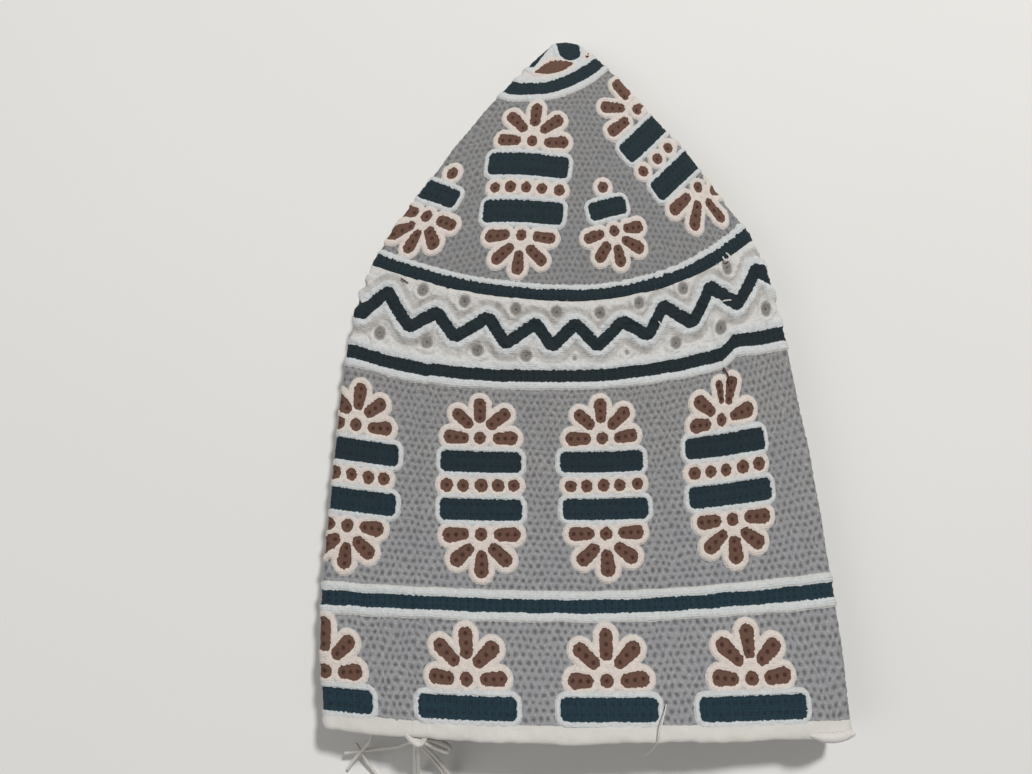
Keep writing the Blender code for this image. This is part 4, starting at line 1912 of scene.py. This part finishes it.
@dataclass(frozen=True)
class PlainCloth:
    """Plain cotton: the inside of the cloth, the tape and the loose threads."""

    name: str
    light: Colour
    shadow: Colour
    thread: float = 0.7
    roughness: float = 0.9
    bump_strength: float = 0.5
    bump_high: float = 0.0002

    def build(self) -> bpy.types.Material:
        """Makes the material, a plain weave.

        Returns:
            The material.
        """
        finish = Finish(self.name, self.roughness)
        across, down, place = finish.cloth_place()
        weft = finish.waves(across * (TURN / self.thread), place, 0.5, 3.0)
        warp = finish.waves(down * (TURN / self.thread), place, 0.4, 3.0)
        weave = weft * warp * 0.5 + finish.noise(place, 1.1, 4.0) * 0.8
        light = finish.step(weave + finish.noise(place, 0.12) * 1.2, -0.8, 0.8)
        finish.colour(finish.mix(light, self.shadow, self.light))
        finish.raise_surface(weave, self.bump_strength, self.bump_high)
        return finish.material


# What stands round the cap.

@dataclass(frozen=True)
class Lamp:
    """Soft round light that faces the cap."""

    name: str
    place: Triple
    size: float
    power: float
    colour: Colour

    def build(self) -> None:
        """Adds the light."""
        data = bpy.data.lights.new(self.name, "AREA")
        data.shape = "DISK"
        data.size = self.size
        data.energy = self.power
        data.color = self.colour
        lamp = bpy.data.objects.new(self.name, data)
        lamp.location = self.place
        lamp.rotation_euler = Vector(self.place).to_track_quat("Z", "Y").to_euler()
        bpy.context.scene.collection.objects.link(lamp)


@dataclass(frozen=True)
class Studio:
    """Camera, floor and light."""

    camera_place: Triple = (-0.01753, -0.06856, 0.232)
    camera_tilt: float = 14.0
    nearest: float = 0.01
    focal: float = 775.0
    image_width: float = 1032.0
    sensor: float = 36.0
    floor_half: float = 1.5
    floor_drop: float = 0.0007
    floor_colour: Colour = (0.80, 0.79, 0.765)
    floor_shade: float = 0.985
    lamps: tuple[Lamp, ...] = (
        Lamp("soft_window", (0.38, 0.58, 1.20), 0.16, 13.4, (1.0, 1.0, 0.99)),
        Lamp("left_fill", (-0.95, -0.25, 0.80), 0.90, 3.2, (0.99, 0.99, 1.0)),
    )
    world_colour: Colour = (1.0, 0.985, 0.965)
    world_strength: float = 0.21

    def build(self) -> None:
        """Adds the camera, the floor and the lights."""
        scene = bpy.context.scene
        scene.view_settings.view_transform = "Standard"
        self.camera()
        self.floor()
        for lamp in self.lamps:
            lamp.build()
        world = bpy.data.worlds.new("studio")
        world.use_nodes = True
        background = world.node_tree.nodes["Background"]
        background.inputs["Color"].default_value = (*self.world_colour, 1.0)
        background.inputs["Strength"].default_value = self.world_strength
        scene.world = world

    def camera(self) -> None:
        """Adds the camera, at the photo's viewing angle."""
        view = bpy.data.cameras.new("photo_view")
        view.sensor_width = self.sensor
        view.lens = self.focal / self.image_width * self.sensor
        view.clip_start = self.nearest
        camera = bpy.data.objects.new("photo_view", view)
        camera.location = self.camera_place
        camera.rotation_euler = (math.radians(self.camera_tilt), 0.0, 0.0)
        bpy.context.scene.collection.objects.link(camera)
        bpy.context.scene.camera = camera

    def floor(self) -> None:
        """Adds the pale floor."""
        mesh = bmesh.new()
        bmesh.ops.create_grid(mesh, x_segments=1, y_segments=1, size=self.floor_half)
        bmesh.ops.translate(mesh, verts=mesh.verts, vec=Vector((0.0, 0.0, -self.floor_drop)))
        data = bpy.data.meshes.new("floor")
        mesh.to_mesh(data)
        mesh.free()
        finish = Finish("pale_floor", 0.95)
        place = finish.node("ShaderNodeTexCoord", {}, {}).outputs["Object"]
        shade = finish.step(finish.noise(place, 6.0, 3.0), -0.4, 0.4)
        darker = tuple(self.floor_shade * part for part in self.floor_colour)
        finish.colour(finish.mix(shade, darker, self.floor_colour))
        data.materials.append(finish.material)
        floor = bpy.data.objects.new("floor", data)
        bpy.context.scene.collection.objects.link(floor)


@dataclass(frozen=True)
class Cutting:
    """Where the cloth's outside is cut into pieces, in millimetres of cloth and in degrees."""

    sizes: CapSizes
    front: float = 79.2         # each edge lies a little past a fold, out of sight
    gusset: float = 77.0
    back: float = 210.2
    overlap: float = 1.0
    top: float = 0.1
    field_top: float = 28.0
    field_bottom: float = 84.0
    past_edge: float = 0.5
    fine_pitch: float = 0.35
    gusset_pitch: float = 1.2
    back_pitch: float = 0.75
    crown_pitch: float = 0.40
    crown_gusset_pitch: float = 0.9

    def band(self) -> list[BandSheet]:
        """The pieces of the side band.

        Returns:
            One sheet for each piece.
        """
        low = self.sizes.band_tall / MM + self.past_edge
        front, gusset, back = self.front, self.gusset, self.back
        fine, flat = self.fine_pitch, Relief(dome=0.25, valley=0.1)
        rows = (
            ("band_zigzag_strip", fine, Relief(), -front, front, self.top, self.field_top),
            ("band_medallion_field", fine, Relief(), -front, front, self.field_top, self.field_bottom),
            ("band_lower_field", fine, Relief(), -front, front, self.field_bottom, low),
            ("band_gusset_right", self.gusset_pitch, Relief(), gusset, back + self.overlap, self.top, low),
            ("band_gusset_left", self.gusset_pitch, Relief(), -back - self.overlap, -gusset, self.top, low),
            ("band_back", self.back_pitch, flat, back, BandChart.WHOLE_ROUND - back, self.top, low),
        )
        return [BandSheet(name, "side_band", self.sizes, pitch, relief, left=left, right=right, top=top,
                          bottom=bottom) for name, pitch, relief, left, right, top, bottom in rows]

    def crown(self) -> list[CrownSheet]:
        """The pieces of the crown.

        Returns:
            One sheet for each piece.
        """
        rows = (
            ("crown_front", self.crown_pitch, -49.5, 49.5),
            ("crown_gusset_right", self.crown_gusset_pitch, 48.5, 132.0),
            ("crown_gusset_left", self.crown_gusset_pitch, -132.0, -48.5),
            ("crown_back", self.back_pitch, 131.0, 229.0),
        )
        return [CrownSheet(name, "crown", self.sizes, pitch, start=start, end=end)
                for name, pitch, start, end in rows]


def main() -> None:
    """Builds the cap's pieces, the camera and the studio."""
    logging.basicConfig(level=logging.INFO, format="%(name)s: %(message)s")
    Studio().build()
    sizes = CapSizes()
    fold = Fold(sizes)
    stitched = EmbroideredCloth().build(Relief())
    # the crown's copy of the cloth, its net painted darker as shade
    crown = shaded_crown_cloth().build(Relief())
    inside = PlainCloth("inside_cloth", (0.62, 0.60, 0.575), (0.44, 0.425, 0.405)).build()
    tape = PlainCloth("cotton_tape", (0.80, 0.775, 0.735), (0.64, 0.61, 0.57)).build()
    brown = PlainCloth("brown_thread", (0.15, 0.08, 0.058), (0.055, 0.023, 0.016)).build()

    cutting = Cutting(sizes)
    for sheet in cutting.band():
        sheet.build(fold, stitched)
    for sheet in cutting.crown():
        sheet.build(fold, crown)
    InnerSheet("band_inside", "side_band", sizes, 1.001, 2.0, 40).build(fold, inside)
    InnerSheet("crown_inside", "crown", sizes, 0.0, 0.998, 36).build(fold, inside)
    HemTape(sizes).build(fold, tape)
    Strands("loose_threads", WHITE_SLOT, WHITE_STRANDS).build(fold, tape)
    Strands("brown_thread", GREY_SLOT, BROWN_STRANDS).build(fold, brown)


if __name__ == "__main__":
    main()
